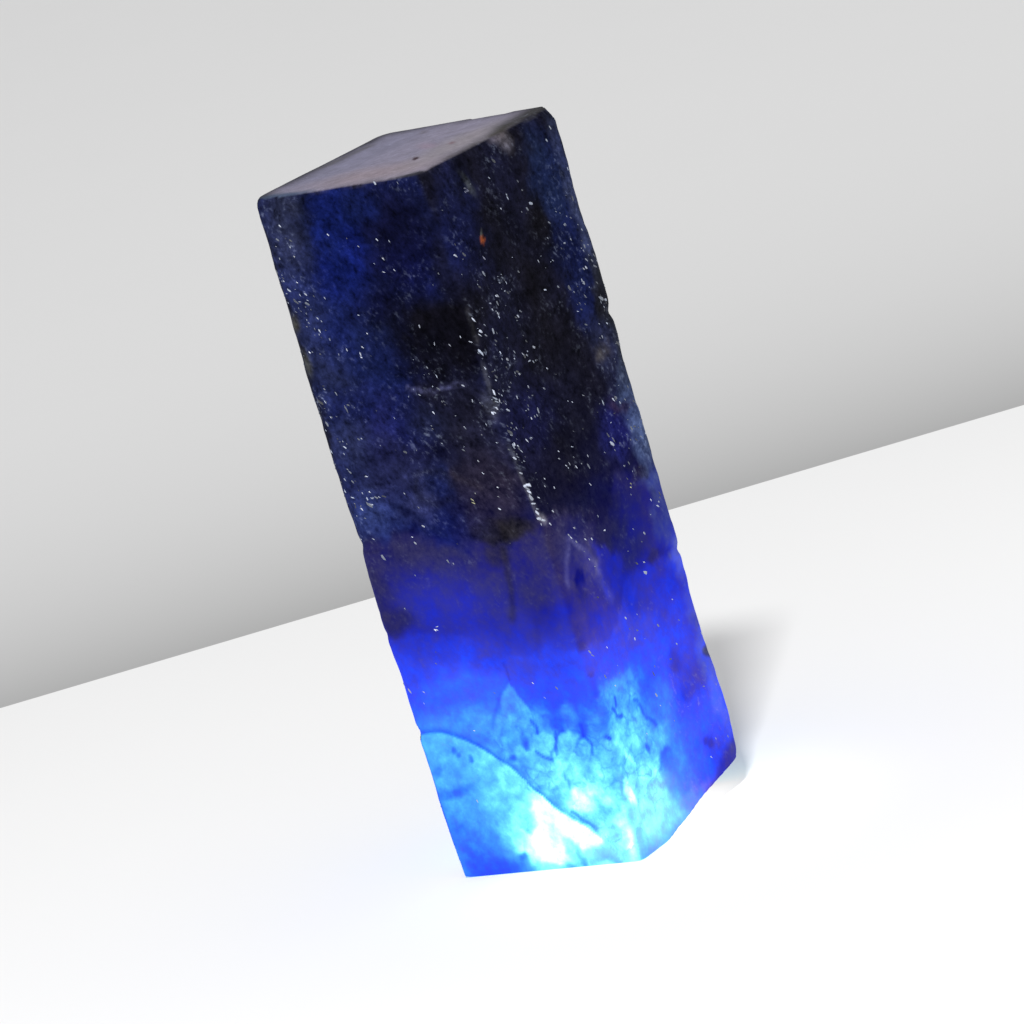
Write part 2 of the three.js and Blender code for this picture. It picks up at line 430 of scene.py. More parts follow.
@dataclass(frozen=True)
class SkinGrid:
    """How finely the skin is divided: finest on the two faces with most to show, and near the foot."""

    blank: Blank
    handover: Pair = (0.3, 0.7)
    side_columns: tuple[int, ...] = (50, 51, 15, 16)
    edge_columns: tuple[int, ...] = (9, 12, 6, 13)
    low_rows: int = 112
    high_rows: int = 148
    low_height: float = 16.0
    rim_rows: int = 5
    base_rings: int = 10
    top_rings: int = 24

    def columns(self) -> tuple[Array, Array, Array, Array, Array]:
        """The columns round the stone, from the middle of the front.

        Returns:
            For each column its quarter, its share of the first straight run, its bend, its share of the
            second straight run, and how far it belongs to the quarter's second face, 0 to 1.
        """
        parts = []
        for quarter in range(4):
            before, after = self.side_columns[quarter], self.side_columns[(quarter + 1) % 4]
            edge = self.edge_columns[quarter]
            side_in = np.concatenate([np.arange(before) / before, np.ones(edge + after)])
            bend = np.concatenate([np.zeros(before), np.arange(edge) / edge, np.ones(after)])
            side_out = np.concatenate([np.zeros(before + edge), np.arange(after) / after])
            parts.append(np.stack([np.full(side_in.shape, quarter), side_in, bend, side_out]))
        quarter, side_in, bend, side_out = np.concatenate(parts, axis=1)
        return quarter.astype(int), side_in, bend * np.pi / 2, side_out, smooth(*self.handover, bend)

    def rows(self) -> tuple[Array, Array, Array]:
        """The rows from the middle of the base, over both rims, to the middle of the top.

        Returns:
            For each row its height, how far it is drawn in, and its share of the full section.
        """
        blank = self.blank
        turn = np.arange(self.rim_rows) / self.rim_rows * np.pi / 2
        top_foot = blank.height - blank.top_rim_down
        rings = np.arange(1, self.base_rings) / self.base_rings
        base = (0.0 * rings, 0.0 * rings + blank.base_rim, rings)
        low_rim = (blank.base_rim * (1 - np.cos(turn)), blank.base_rim * (1 - np.sin(turn)), 1 + 0 * turn)
        low = np.linspace(blank.base_rim, self.low_height, self.low_rows, endpoint=False)
        high = np.linspace(self.low_height, top_foot, self.high_rows)
        side = np.concatenate([low, high])
        sides = (side, 0.0 * side, 1 + 0.0 * side)
        turn = np.arange(1, self.rim_rows + 1) / self.rim_rows * np.pi / 2
        high_rim = (
            blank.height - blank.top_rim_down * (1 - np.sin(turn)),
            blank.top_rim_in * (1 - np.cos(turn)),
            1 + 0 * turn,
        )
        rings = np.arange(self.top_rings - 1, 0, -1) / self.top_rings
        top = (blank.height + 0.0 * rings, blank.top_rim_in + 0.0 * rings, rings)
        return tuple(np.concatenate(parts) for parts in zip(base, low_rim, sides, high_rim, top))


@dataclass
class Skin:
    """The stone's finished surface: a grid of points with the way out of each."""

    points: Array
    normals: Array
    next_face: Array
    quarter: Array

    def share_of(self, side: Side) -> Array:
        """How far each point belongs to a side, 0 to 1.

        Args:
            side: The side.

        Returns:
            The share, for each point.
        """
        first = np.where(self.quarter == side.value, 1.0 - self.next_face, 0.0)
        second = np.where((self.quarter + 1) % 4 == side.value, self.next_face, 0.0)
        return np.broadcast_to(first + second, self.points.shape[:-1])


@dataclass
class StoneShape:
    """The stone's shape: the blank, every scar, and the fine frosting of the broken faces."""

    blank: Blank = field(default_factory=Blank)
    heart: Pair = (8.0, 42.0)
    cuts: int = 2
    sawn: Pair = (0.6, 0.9)
    frost: Route = ((1.1, 0.035), (0.45, 0.016))
    frost_seed: float = 5.0
    top_frost: float = 0.02
    plain_foot: float = 0.6

    @property
    def scars(self) -> tuple[Scar, ...]:
        """Every scar and chip. Headings: 0 front, 90 right, 180 back, 270 left.

        Returns:
            The scars, in the order in which they are cut.
        """
        x, y, top = self.blank.half_x, self.blank.half_y, self.blank.height
        return (
            Scar((x, y, 0), (114, -68), 46, 46, 2.2),
            Scar((x, y, 1), (132, -26), 6, 7.4, 1.5),
            Scar((x, 0.6, 0), (90, -42), 3.4, 2.4, 0.8),
            Scar((8.3, -7.3, 20.6), (72, 0), 7.4, 14.5, 0.5),
            Scar((7.5, -7.9, 33.3), (38, 0), 1.4, 1.9, 0.26),
            Scar((8, -7.7, 28.3), (38, 0), 1.3, 1.6, 0.3),
            Scar((8.3, -7.5, 25.3), (38, 0), 1.3, 2.4, 0.26),
            Scar((-6.2, -y, top), (352, 8), 4.6, 8, 0.42),
            Scar((-x, 1.6, top), (270, 42), 8, 1.5, 0.3),
            Scar((7.4, 7.9, top), (135, 22), 3.6, 3.6, 0.55),
            Scar((x, 4.4, top), (96, 48), 4.2, 1.8, 0.36),
            Scar((2.4, y, top), (180, 40), 5.6, 2.6, 0.6),
            Scar((x, -4.4, 47.9), (90, 0), 1.7, 2.2, 0.3),
            Scar((7.2, -y, 44.2), (20, 0), 1.8, 1.9, 0.24),
            Scar((-x, 7.5, 27), (262, 2), 20, 17, 0.8),
            Scar((-x, 0.5, -1), (270, -4), 15, 24, 0.6),
            Scar((-8, y, 40), (202, 3), 15, 14, 0.9),
            Scar((-3, y, 9), (180, -3), 21, 25, 0.7),
            Scar((-x, y, 0), (225, -38), 8, 6, 1.4),
            Scar((-7.44, -7.6, 10.9), (308, 0), 2.4, 1.3, 0.36),
            Scar((-7.44, -7.6, 0.4), (308, -3), 4.4, 14.5, 0.42),
            Scar((-7.3, -7.5, 0), (308, -48), 4.0, 1.5, 0.3),
        )

    @staticmethod
    def _normals(points: Array) -> Array:
        """The cross product of the way round and the way up, made one long.

        Args:
            points: The skin.

        Returns:
            The way out of it at each point.
        """
        around = np.roll(points, -1, axis=1) - np.roll(points, 1, axis=1)
        up = np.gradient(points, axis=0)
        normal = np.cross(around, up)
        return normal / np.maximum(np.linalg.norm(normal, axis=-1, keepdims=True), 1e-12)

    def build(self, box: tuple[Vector, Vector]) -> Skin:
        """Works the skin out: outline, wander and rims, then the scars, then the frosting along the normals.

        Args:
            box: Lowest and highest corner that the stone is centred in, in metres.

        Returns:
            The skin, in millimetres, with rows upwards and columns round the stone.
        """
        grid = SkinGrid(self.blank)
        quarter, side_in, bend, side_out, next_face = grid.columns()
        height, drawn_in, share = grid.rows()
        z = height[:, None] + 0.0 * side_in[None, :]
        points, out = self.blank.outline(quarter[None, :] + 0 * z.astype(int), side_in, bend, side_out, z)
        points = points + self.blank.wander(points)
        points = points - out * drawn_in[:, None, None]
        points[..., :2] *= share[:, None, None]
        for _ in range(self.cuts):
            for scar in self.scars:
                heart = np.zeros_like(points)
                heart[..., 2] = np.clip(points[..., 2], *self.heart)
                points = scar.cut(points, heart)
        points = Ledge().cut(points)
        normals = self._normals(points)
        points = points + normals * self._frosting(points, normals)[..., None]
        low, high = points.min(axis=(0, 1)), points.max(axis=(0, 1))
        centre = np.array([(box[0][a] + box[1][a]) / 2 / MM for a in range(2)])
        points[..., :2] += centre - (low + high)[:2] / 2
        return Skin(points, self._normals(points), next_face[None, :], quarter[None, :])

    def _frosting(self, points: Array, normals: Array) -> Array:
        """Fine lumps on the sides, and only hollows on the sawn top, so that it stays level.

        Args:
            points: The skin.
            normals: The way out of it at each point.

        Returns:
            How far each point moves out.
        """
        seed = self.frost_seed
        rough = sum(amount * StoneNoise.at(points, size, seed + size) for size, amount in self.frost)
        on_top = smooth(*self.sawn, normals[..., 2])
        hollow = -self.top_frost * (0.5 + 0.5 * StoneNoise.layered(points, size=1.2, layers=3, seed=61.0))
        return (rough * (1 - on_top) + hollow * on_top) * smooth(0.0, self.plain_foot, points[..., 2])


@dataclass(frozen=True)
class Spot:
    """A spot on a face: an ellipse with a soft or a firm edge, and the value that it lays there.

    size holds its half-widths, soft says how wide its edge is, and turn leans it, in degrees.
    """

    at: Pair
    size: Pair
    value: Any
    soft: float = 0.7
    share: float = 1.0
    turn: float = 0.0

    def mask(self, across: Array, up: Array) -> Array:
        """1 inside, easing to 0 where the distance over the half-width passes 1, soft to each side of it.

        Args:
            across: Where each place lies along the face.
            up: Its height.

        Returns:
            The spot's share at each place.
        """
        lean = np.radians(self.turn)
        da, du = across - self.at[0], up - self.at[1]
        long_way = (da * np.cos(lean) + du * np.sin(lean)) / self.size[0]
        short_way = (du * np.cos(lean) - da * np.sin(lean)) / self.size[1]
        return self.share * (1.0 - smooth(1.0 - self.soft, 1.0 + self.soft, np.hypot(long_way, short_way)))


def distance_to(corners: Iterable[Pair], across: Array, up: Array) -> Array:
    """Distance to a chain of straight stretches: the least over the stretches.

    Args:
        corners: The chain's points.
        across: Where each place lies along the face.
        up: The height of each place.

    Returns:
        The distances.
    """
    corners = np.array(corners, float)
    best = np.full(across.shape, np.inf)
    for start, end in zip(corners[:-1], corners[1:]):
        way = end - start
        share = np.clip(((across - start[0]) * way[0] + (up - start[1]) * way[1]) / (way @ way), 0, 1)
        best = np.minimum(best, np.hypot(across - start[0] - share * way[0], up - start[1] - share * way[1]))
    return best


@dataclass(frozen=True)
class Region:
    """Part of a face inside an outline of a few corners, and the value that it lays there."""

    outline: Route
    value: Any
    blur: float = 0.12
    share: float = 1.0

    def mask(self, across: Array, up: Array) -> Array:
        """1 inside and 0 outside, eased over blur to each side of the outline. Crossings tell the inside.

        Args:
            across: Where each place lies along the face.
            up: Its height.

        Returns:
            The region's share at each place.
        """
        corners = np.array(self.outline, float)
        inside = np.zeros(across.shape, bool)
        for start, end in zip(corners, np.roll(corners, -1, axis=0)):
            rise = end[1] - start[1] or 1e-9
            crosses = (start[1] > up) != (end[1] > up)
            inside ^= crosses & (across < start[0] + (up - start[1]) / rise * (end[0] - start[0]))
        reach = distance_to([*corners, corners[0]], across, up) * np.where(inside, 1.0, -1.0)
        return self.share * smooth(-self.blur, self.blur, reach)


@dataclass(frozen=True)
class Crack:
    """A fine crack or vein along a chain of points, and the value that it adds or lays along it."""

    route: Route
    value: Any
    wide: float = 0.12
    share: float = 1.0

    def mask(self, across: Array, up: Array) -> Array:
        """share * exp(-(distance / wide)^2)."""
        return self.share * np.exp(-((distance_to(self.route, across, up) / self.wide) ** 2))


@dataclass(frozen=True)
class Border:
    """A line right across a face, from left to right."""

    route: Route

    def above(self, across: Array, up: Array) -> Array:
        """How far a place lies above the line, below it being negative."""
        along, height = np.array(self.route, float).T
        return up - np.interp(across, along, height)

    def step(self, across: Array, up: Array, sharp: float, fade: float) -> Array:
        """A step at the line that dies away from it: tanh(above / sharp) * exp(-|above| / fade)."""
        above = self.above(across, up)
        return np.tanh(above / sharp) * np.exp(-np.abs(above) / fade)


@dataclass
class Places:
    """The skin's points as one face sees them, with the noises that break up every edge laid on it."""

    # Amount, size and seed of the noises in a shake, and size, layers and seed of swell, mottle and grain.
    SHAKES: ClassVar[tuple[Triple, ...]] = ((0.28, 1.3, 0), (0.17, 0.6, 4), (0.1, 0.3, 8))
    SHAKE_SEEDS: ClassVar[Pair] = (5.0, 25.0)
    NOISES: ClassVar[tuple[Triple, ...]] = ((4.0, 3, 41.0), (1.4, 3, 51.0), (0.55, 2, 71.0))

    points: Array
    across: Array
    up: Array
    shake_across: Array
    shake_up: Array
    swell: Array
    mottle: Array
    grain: Array

    @classmethod
    def of(cls, points: Array, side: Side) -> "Places":
        """Measures the noises at the points of one side.

        Args:
            points: Some of the skin.
            side: The side that they are on.

        Returns:
            The points with their noises.
        """
        shakes = [
            sum(amount * StoneNoise.at(points, size, seed + shift) for amount, size, shift in cls.SHAKES)
            for seed in cls.SHAKE_SEEDS
        ]
        noises = (StoneNoise.layered(points, *noise) for noise in cls.NOISES)
        return cls(points, *side.spread(points), *shakes, *noises)

    def shaken(self, amount: float, swell: float = 0.0) -> tuple[Array, Array]:
        """The face's two coordinates with the noises added, so that an edge comes out ragged.

        Args:
            amount: How much of the shakes is added.
            swell: How much of the swell is added.

        Returns:
            Where each place now lies across the face, and how high.
        """
        return (
            self.across + amount * self.shake_across + swell * self.swell,
            self.up + amount * self.shake_up + swell * self.swell,
        )


def soak(height: Array) -> Array:
    """Depth of stone that the light has come through at a height: 4.8 + 0.27 z + 0.0345 z^2."""
    return 4.8 + 0.27 * height + 0.0345 * height**2


Colour = tuple[int, int, int]
Layer = Spot | Region | Crack
Layers = tuple[Layer, ...]

NIGHT, GRAPHITE, NAVY, ROYAL = (11, 10, 16), (18, 18, 31), (18, 24, 62), (14, 26, 92)
INDIGO, SLATE, STEEL, UMBER = (27, 30, 76), (46, 51, 82), (42, 53, 98), (38, 34, 48)
SOOT, ASH, PALE_VEIN = (21, 20, 25), (29, 29, 46), (92, 92, 124)


def laid(ground: Array, layers: Iterable[Layer], across: Array, up: Array) -> Array:
    """Lays layers on a ground, one over the other: ground + mask * (value - ground).

    Args:
        ground: One number, or red, green and blue, for each place.
        layers: The layers, whose values are numbers or colours, as the ground's are.
        across: Where each place lies along the face.
        up: The height of each place.

    Returns:
        The ground with the layers on it.
    """
    for layer in layers:
        value, mask = layer.value, layer.mask(across, up)
        if ground.ndim > mask.ndim:
            value, mask = tint(*value), mask[..., None]
        ground = ground + mask * (value - ground)
    return ground


@dataclass
class FaceLook:
    """One face's look: the soak depth, which sets the painted glow, and the body colour. On its own it is a
    plain hidden face.
    """

    side: Side
    # From which depth down to which the stone counts as near the lamp, and what each noise adds to the depth.
    near: Pair = (18.0, 8.0)
    swell: float = 1.2
    mottle: float = 2.4
    mottle_less_near: float = 0.9
    grain: float = 0.9
    extra_above: float = 3.0
    # How far colours are shaken, what a swell adds to red, green and blue, and the dust's share below.
    ragged: Pair = (1.8, 0.8)
    bluer: Triple = (-0.2, -0.1, 0.3)
    dust_below: float = 0.35
    low_break: Border = Border(((-9, 17.0), (-3, 18.4), (2, 17.2), (9, 17.8)))
    high_break: Border = Border(((-9, 24.0), (-2, 25.6), (3, 24.4), (9, 25.0)))
    low_step: float = 1.5
    high_step: float = 2.6
    ground_tint: Colour = (20, 24, 52)
    haze_tint: Colour = (40, 38, 46)
    hazes: Layers = ()
    light: float = 1.0
    ground_dust: float = 0.35
    dusts: Layers = ()
    depths: Layers = ()
    cracks: Layers = ()
    tints: Layers = ()
    veins: Layers = ()
    crackles: Layers = ()

    def ground(self, places: Places) -> Array:
        """The soak depth before any spot: it grows with height, swells, and steps at both breaks.

        Args:
            places: The face's points.

        Returns:
            The depth at each point.
        """
        across, up = places.shaken(1.0)
        depth = soak(places.up) + self.swell * places.swell
        depth = depth + self.low_step * self.low_break.step(across, up, sharp=0.15, fade=2.0)
        return depth + self.high_step * self.high_break.step(across, up, sharp=0.3, fade=2.0)

    def scarred(self, depth: Array, places: Places) -> Array:
        """The depth with the face's own lit scar cut into it. A plain face has none."""
        return depth

    def depth(self, places: Places) -> Array:
        """The soak depth over the face: ground, spots, scar, mottling, cracks, and the dark above the break.

        Args:
            places: The face's points.

        Returns:
            The depth at each point.
        """
        across, up = places.shaken(1.0)
        depth = self.scarred(laid(self.ground(places), self.depths, across, up), places)
        mottle = self.mottle - self.mottle_less_near * smooth(*self.near, depth)
        depth = depth + places.mottle * mottle + places.swell * self.swell + places.grain * self.grain
        dark = smooth(0.0, 2.0, self.high_break.above(across, up))
        across, up = places.shaken(0.45)
        for crack in self.cracks:
            depth = depth + crack.value * crack.mask(across, up)
        return depth + self.extra_above * dark

    def colour(self, places: Places) -> Array:
        """The stone's own colour, in linear light: the tints above the high break, and a haze below it.

        Args:
            places: The face's points.

        Returns:
            Red, green and blue at each point: the tint to be seen, over the light that reaches the face.
        """
        across, up = places.shaken(*self.ragged)
        plain = np.zeros(places.points.shape)
        body = laid(plain + tint(*self.ground_tint), self.tints, across, up)
        haze = laid(plain + tint(*self.haze_tint), self.hazes, across, up)
        above = smooth(-0.6, 0.6, self.high_break.above(across, up))[..., None]
        body = laid(haze + (body - haze) * above, self.veins, *places.shaken(0.8))
        patchy = 1.0 + 0.55 * places.mottle + 0.3 * places.grain + 0.3 * places.swell
        bluer = 1.0 + places.swell[..., None] * np.array(self.bluer)
        return np.maximum(body * patchy[..., None] * bluer, 0.0) / self.light

    def dust(self, places: Places) -> Array:
        """How thickly pale dust lies: thin below the high break, and in patches above it.

        Args:
            places: The face's points.

        Returns:
            The thickness at each point, 1 being plain to see.
        """
        across, up = places.shaken(*self.ragged)
        dust = laid(np.full(across.shape, self.ground_dust), self.dusts, across, up)
        above = smooth(-4.0, 3.0, self.high_break.above(across, up))
        dust = dust * (self.dust_below + (1.0 - self.dust_below) * above)
        return np.maximum(dust * (1.0 + 1.8 * places.mottle + 1.4 * places.swell), 0.0)

    def crackle(self, places: Places) -> Array:
        """How far the face is crazed into small cells, 0 to 1.

        Args:
            places: The face's points.

        Returns:
            The crazing at each point.
        """
        across, up = places.shaken(*self.ragged)
        crazed = np.zeros(across.shape)
        for layer in self.crackles:
            crazed = np.maximum(crazed, layer.value * layer.mask(across, up))
        return crazed


@dataclass
class TopLook:
    """The sawn top's colours, with marks placed by x and y: lavender grey, soft dark rims, and a few dots."""

    ground_tint: Colour = (122, 118, 136)
    mottle: float = 0.16
    light: float = 1.22
    tints: Layers = (
        Spot((-5, 1), (3, 8), (113, 112, 133), 0.8, 0.8),
        Spot((2, -5.8), (5, 2.2), (134, 122, 130), 0.8, 0.8),
        Spot((4.8, 0), (2, 5), (128, 122, 126), 0.8, 0.7),
        Region(
            ((-8.6, -8.8), (-1, -8.8), (-2.4, -7.9), (-4.6, -7.2), (-6.6, -6.8), (-8.6, -6.4)),
            (62, 76, 100), 0.4, 0.9,
        ),
        Crack(((-8.3, -7), (-8.2, -4), (-8.1, 3), (-8, 8)), (34, 34, 40), 1.5),
        Crack(((-6.9, -0.6), (-6.4, 2.2), (-6.2, 4.2)), (82, 80, 86), 0.5, 0.75),
        Crack(((-7.6, 8.5), (0, 8.5), (6, 8.4)), (46, 44, 50), 1.3),
        Crack(((7.8, -8.2), (7.5, -2.6), (7.3, 1.4), (6.6, 3.2)), (54, 52, 48), 0.95, 0.95),
        Crack(((-1, -8.5), (4, -8.5), (7.8, -8.2)), (66, 64, 66), 0.5, 0.8),
        Region(
            ((3.5, -9), (3.8, -8.2), (5.6, -7.9), (7, -7.1), (7.4, -5.6), (7.6, -2), (9, -2), (9, -9)),
            (44, 44, 52), 0.25, 0.9,
        ),
        Spot((7.2, 6.4), (2, 3.6), (42, 42, 43), 0.6, 0.95),
        Spot((3.1, -3), (0.55, 0.24), (52, 34, 44), 0.4, turn=-52),
        Spot((3.9, 0.3), (0.5, 0.2), (104, 80, 88), 0.6, 0.8, turn=-52),
        Spot((-2.6, 5.9), (0.6, 0.26), (92, 88, 98), 0.6, 0.8, turn=-52),
        Spot((1.4, 0.8), (1.6, 0.5), (132, 116, 132), 0.8, 0.6, turn=-40),
    )

    def colour(self, points: Array) -> Array:
        """The marks over the ground, faintly mottled, over the light that reaches the top.

        Args:
            points: The skin, in millimetres.

        Returns:
            Red, green and blue at each point, in linear light.
        """
        shake = 0.5 * StoneNoise.layered(points, size=1.4, layers=3, seed=91.0)
        ground = np.zeros(points.shape) + tint(*self.ground_tint)
        body = laid(ground, self.tints, points[..., 0] + shake, points[..., 1] - shake)
        mottle = 1.0 + self.mottle * StoneNoise.layered(points, size=1.0, layers=3, seed=81.0)
        return body * mottle[..., None] / self.light


@dataclass
class FrontLook(FaceLook):
    """The front. A long scar at its lower left ends in a ledge; its painted glow is brightest near the
    ledge's foot.
    """

    side: Side = Side.FRONT
    ground_tint: Colour = NAVY
    light: float = 1.15
    hazes: Layers = (
        Spot((0, 14), (9, 2.5), (54, 51, 57), 0.7, 0.85), Spot((6.5, 1.2), (2.2, 1.6), (92, 92, 92)),
    )
    dusts: Layers = (
        Spot((-6.2, 38), (2.2, 13), 1.1, 0.4), Spot((-5.5, 27.5), (3, 2.4), 1, 0.5),
        Spot((-1.5, 33), (3.2, 5), 0.5, 0.5), Spot((4.6, 33.2), (3.2, 2.4), 1, 0.5),
        Spot((5.4, 27.6), (3, 2.6), 0.7, 0.5), Spot((-0.5, 46), (3.4, 3.6), 0.25, 0.5),
        Spot((4.6, 38), (3.6, 2.2), 0.35, 0.5),
    )
    low_break: Border = Border((
        (-8, 18), (-5.6, 18.6), (-4.6, 18.1), (-2.2, 18), (0, 17.5), (1, 17), (2, 16.4),
        (3, 15.9), (4.3, 15.8), (5.3, 16.3), (8, 15.9),
    ))
    high_break: Border = Border((
        (-8, 25), (-5, 25.3), (-3, 25.4), (-0.5, 25.2), (0.7, 24.6), (3.2, 24.2), (4, 23.9),
        (4.9, 23.2), (5.5, 23.8), (6.2, 24.4), (8, 25),
    ))
    ledge: Border = Border(((-8.4, 10.9), *LEDGE_LINE[1:]))
    ledge_depths: Route = ((-6.5, 9.2), (-4, 8.8), (-1, 7.6), (0, 6.9), (1, 6.6), (1.8, 4.9), (4, 4.2))
    scar_spots: Layers = (
        Spot((-0.8, 2.3), (1.6, 2.2), 8, 0.8, 0.8), Spot((1.2, 2.5), (2.2, 2.4), 3.9, 0.6),
        Spot((2.5, 3.75), (1.9, 1.05), 3.8, 0.45, turn=-42),
        Spot((4.7, 2.85), (1.4, 0.6), 3.8, 0.5, turn=-38), Spot((0, 4), (0.7, 0.8), 7.8, 0.5, 0.7),
        Spot((3.25, 1.6), (0.55, 1.2), 7.2, 0.5, 0.85, turn=15), Spot((5, 1), (1, 0.6), 7.8, 0.5, 0.8),
        Spot((3.95, 1), (0.35, 0.9), 8.5, 0.5, 0.9), Spot((0.8, 0.35), (2.6, 0.4), 7.6, 0.4, 0.7),
        Spot((6.6, 1), (1.2, 0.8), 9.5, 0.5, 0.8), Spot((-3.5, 0.6), (2.6, 0.8), 14.5, 0.5, 0.6),
        Spot((-6.6, 1), (0.9, 1.6), 10.8, 0.7, 0.7), Spot((-6.2, 3.8), (0.8, 0.45), 13.2, 0.6, 0.7),
        Spot((-5.2, 6.35), (1.6, 0.4), 12.8, 0.6, 0.8, turn=8),
        Spot((-5.2, 7.5), (1, 0.6), 9.3, 0.6, 0.6), Spot((-4.4, 9.45), (0.26, 0.18), 11.6),
        Spot((-4.1, 9.1), (0.2, 0.2), 11.4), Spot((-3.1, 8.8), (0.22, 0.15), 11.5),
        Spot((-6.2, 8), (0.3, 0.4), 11.8, 0.7, 0.7), Spot((-1.2, 1.2), (0.5, 0.3), 12.5, 0.7, 0.7),
        Spot((-0.3, 3.4), (0.55, 0.16), 8, 0.7, 0.8, turn=-30),
    )
    depths: Layers = (
        Spot((-2, 20.2), (4, 2.2), 20.4, 0.8, 0.8), Spot((-3.4, 16.1), (4.2, 0.9), 18.8, 0.8, 0.7),
        Spot((0.6, 8.6), (2, 1.6), 8.8, 0.5, 0.8), Spot((1.1, 7), (1.1, 0.8), 8.2, 0.7, 0.9),
        Spot((-0.7, 9.4), (0.9, 0.6), 9.3, 0.7, 0.9), Spot((3, 5.4), (1, 0.8), 8.3, 0.6, 0.9),
        Spot((7.2, 7.2), (0.8, 0.9), 8, 0.7, 0.8), Spot((3.2, 8), (2, 1), 8.8, 0.7, 0.6),
        Spot((-2.2, 14), (4, 1.6), 13.7, 0.6, 0.8), Spot((-3.4, 11.5), (4, 1.1), 10.6, 0.7, 0.75),
        Spot((-0.6, 11.2), (1.8, 0.6), 10, 0.6, 0.7), Spot((5.5, 13.6), (2.9, 2.3), 17.2, 0.6, 0.75),
        Spot((-6.6, 15), (0.9, 1.8), 15.4, 0.6, 0.6), Spot((-6.3, 19.4), (1.7, 0.9), 29, 0.6),
        Region(
            (
                (2.2, 13.9), (1.3, 13.1), (0.6, 12.4), (-0.3, 11.1), (-1.1, 10.3), (0.4, 9.2), (2.9, 9.9),
                (2.95, 11.3), (3, 12.2), (2.6, 13.3),
            ),
            10.1, 0.16, 0.85,
        ),
        Region(((1.5, 12.7), (2.5, 13.4), (2.95, 12.2), (2.8, 11.25), (1.4, 11.35)), 11.3, 0.2, 0.7),
        Spot((2, 10.95), (0.9, 0.28), 9.6, 0.4, 0.9), Spot((3.9, 11.2), (0.6, 0.9), 11.4, 0.6, 0.7),
        Spot((6.1, 11.5), (0.55, 0.7), 12, 0.4, 0.9), Spot((5.2, 10.7), (0.6, 0.5), 15.5, 0.5, 0.7),
        Spot((7, 10.5), (0.4, 0.8), 13.6, 0.5, 0.9),
        Region(((2.4, 8.9), (2.7, 10.1), (3.5, 10.35), (4.6, 9.8), (4.3, 8.5), (3.2, 8.2)), 8.8, 0.2, 0.9),
        Region(((4.9, 8.2), (4.95, 9.7), (6, 10), (6.7, 9.9), (7.2, 9.3), (7, 7.8)), 8.7, 0.22, 0.9),
        Spot((1.8, 9.5), (0.3, 0.5), 11.8, 0.6), Spot((0.3, 8.35), (0.4, 0.3), 12.6, 0.6),
        Spot((1, 7.8), (0.6, 0.5), 9.8, 0.8, 0.7), Spot((2, 6.2), (0.5, 0.4), 10.6, 0.7, 0.9),
        Spot((3.2, 5.8), (0.8, 0.9), 8, 0.8, 0.7), Spot((4.2, 7.6), (0.5, 0.4), 7.4, 0.6),
        Spot((5.6, 6.9), (0.6, 0.5), 6.9, 0.6), Spot((3.2, 7.2), (0.9, 0.6), 7, 0.8, 0.8),
        Spot((5.6, 7), (1.8, 0.9), 7.9, 0.7, 0.6), Spot((7.3, 8.7), (0.5, 0.8), 8.6, 0.7, 0.7),
        Spot((3.2, 11.2), (0.6, 0.7), 11.2, 0.7, 0.6), Spot((5.1, 5), (1.05, 0.95), 4.7, 0.4),
        Spot((7.2, 5.3), (0.7, 0.7), 5.9, 0.5), Spot((6.6, 4), (0.8, 0.5), 7.7, 0.6),
        Spot((5.6, 3.3), (0.9, 0.4), 7.4, 0.6, 0.9, turn=-35),
        Spot((6.4, 2.9), (0.9, 0.5), 7.6, 0.6, 0.7), Spot((7.2, 1.6), (0.8, 1), 8.8, 0.6, 0.8),
        Spot((1, 15.7), (2, 0.9), 18.4, 0.7, 0.8), Spot((5.6, 15), (3, 1), 17.9, 0.7, 0.7),
        Spot((-5.6, 15.4), (2, 1), 17.4, 0.7, 0.6), Spot((1.4, 16.8), (2.2, 0.8), 19.8, 0.7, 0.7),
        Spot((6.4, 16.2), (1.4, 0.7), 18.8, 0.7, 0.7), Spot((6.6, 20.6), (1.4, 2.4), 28, 0.7, 0.7),
        Spot((-6.9, 21.8), (1.1, 2), 31, 0.7, 0.7), Spot((4.2, 23.2), (0.9, 0.8), 34, 0.6, 0.8),
        Spot((5.3, 24.9), (2.2, 0.7), 50, 0.6, 0.9),
    )
    cracks: Layers = (
        Crack(((4.75, 10.1), (4.7, 9.6), (4.4, 9), (4.3, 8.5)), 3.6, 0.11),
        Crack(((4.7, 9.6), (5.1, 10.1), (5.5, 10.2)), 2.6, 0.11),
        Crack(((4.4, 9), (3.9, 8.7), (3.6, 8.2)), 1.8, 0.11),
        Crack(((7, 9.8), (6.6, 9.5), (6.2, 8.9)), 2, 0.11),
        Crack(((6.9, 10.6), (7, 9.8), (7.3, 9.5), (7.5, 9.2), (7.4, 8.8), (7.2, 8.3)), 3.4, 0.12),
        Crack(((2.6, 8.8), (3.1, 8.4), (3.7, 8.1)), 3), Crack(((2.2, 15.5), (2.25, 14.2)), 2.2),
        Crack(((1.2, 13.2), (0.5, 12.5), (0.1, 12.1), (-0.5, 11)), 1.3, 0.16),
        Crack(((2.9, 11.2), (3.2, 10.6), (3.1, 10.2)), 3), Crack(((1.9, 9.6), (1.8, 9.1)), 2),
        Crack(((4.3, 4.2), (4.9, 3.6), (5.2, 3.35), (5.8, 2.9)), 3.2, 0.16),
        Crack(((4.3, 7.2), (4.6, 6.4), (4.5, 6)), 1.5),
        Crack(((4.9, 23.4), (4.75, 22), (4.6, 20.6), (4.3, 19.4), (3.9, 18.6)), 5, 0.28),
        Crack(((5.3, 15.9), (5.5, 17), (5.8, 18)), 1.5, 0.35), Crack(((2.6, 0.1), (8.4, 0.1)), 2.6, 0.6),
    )
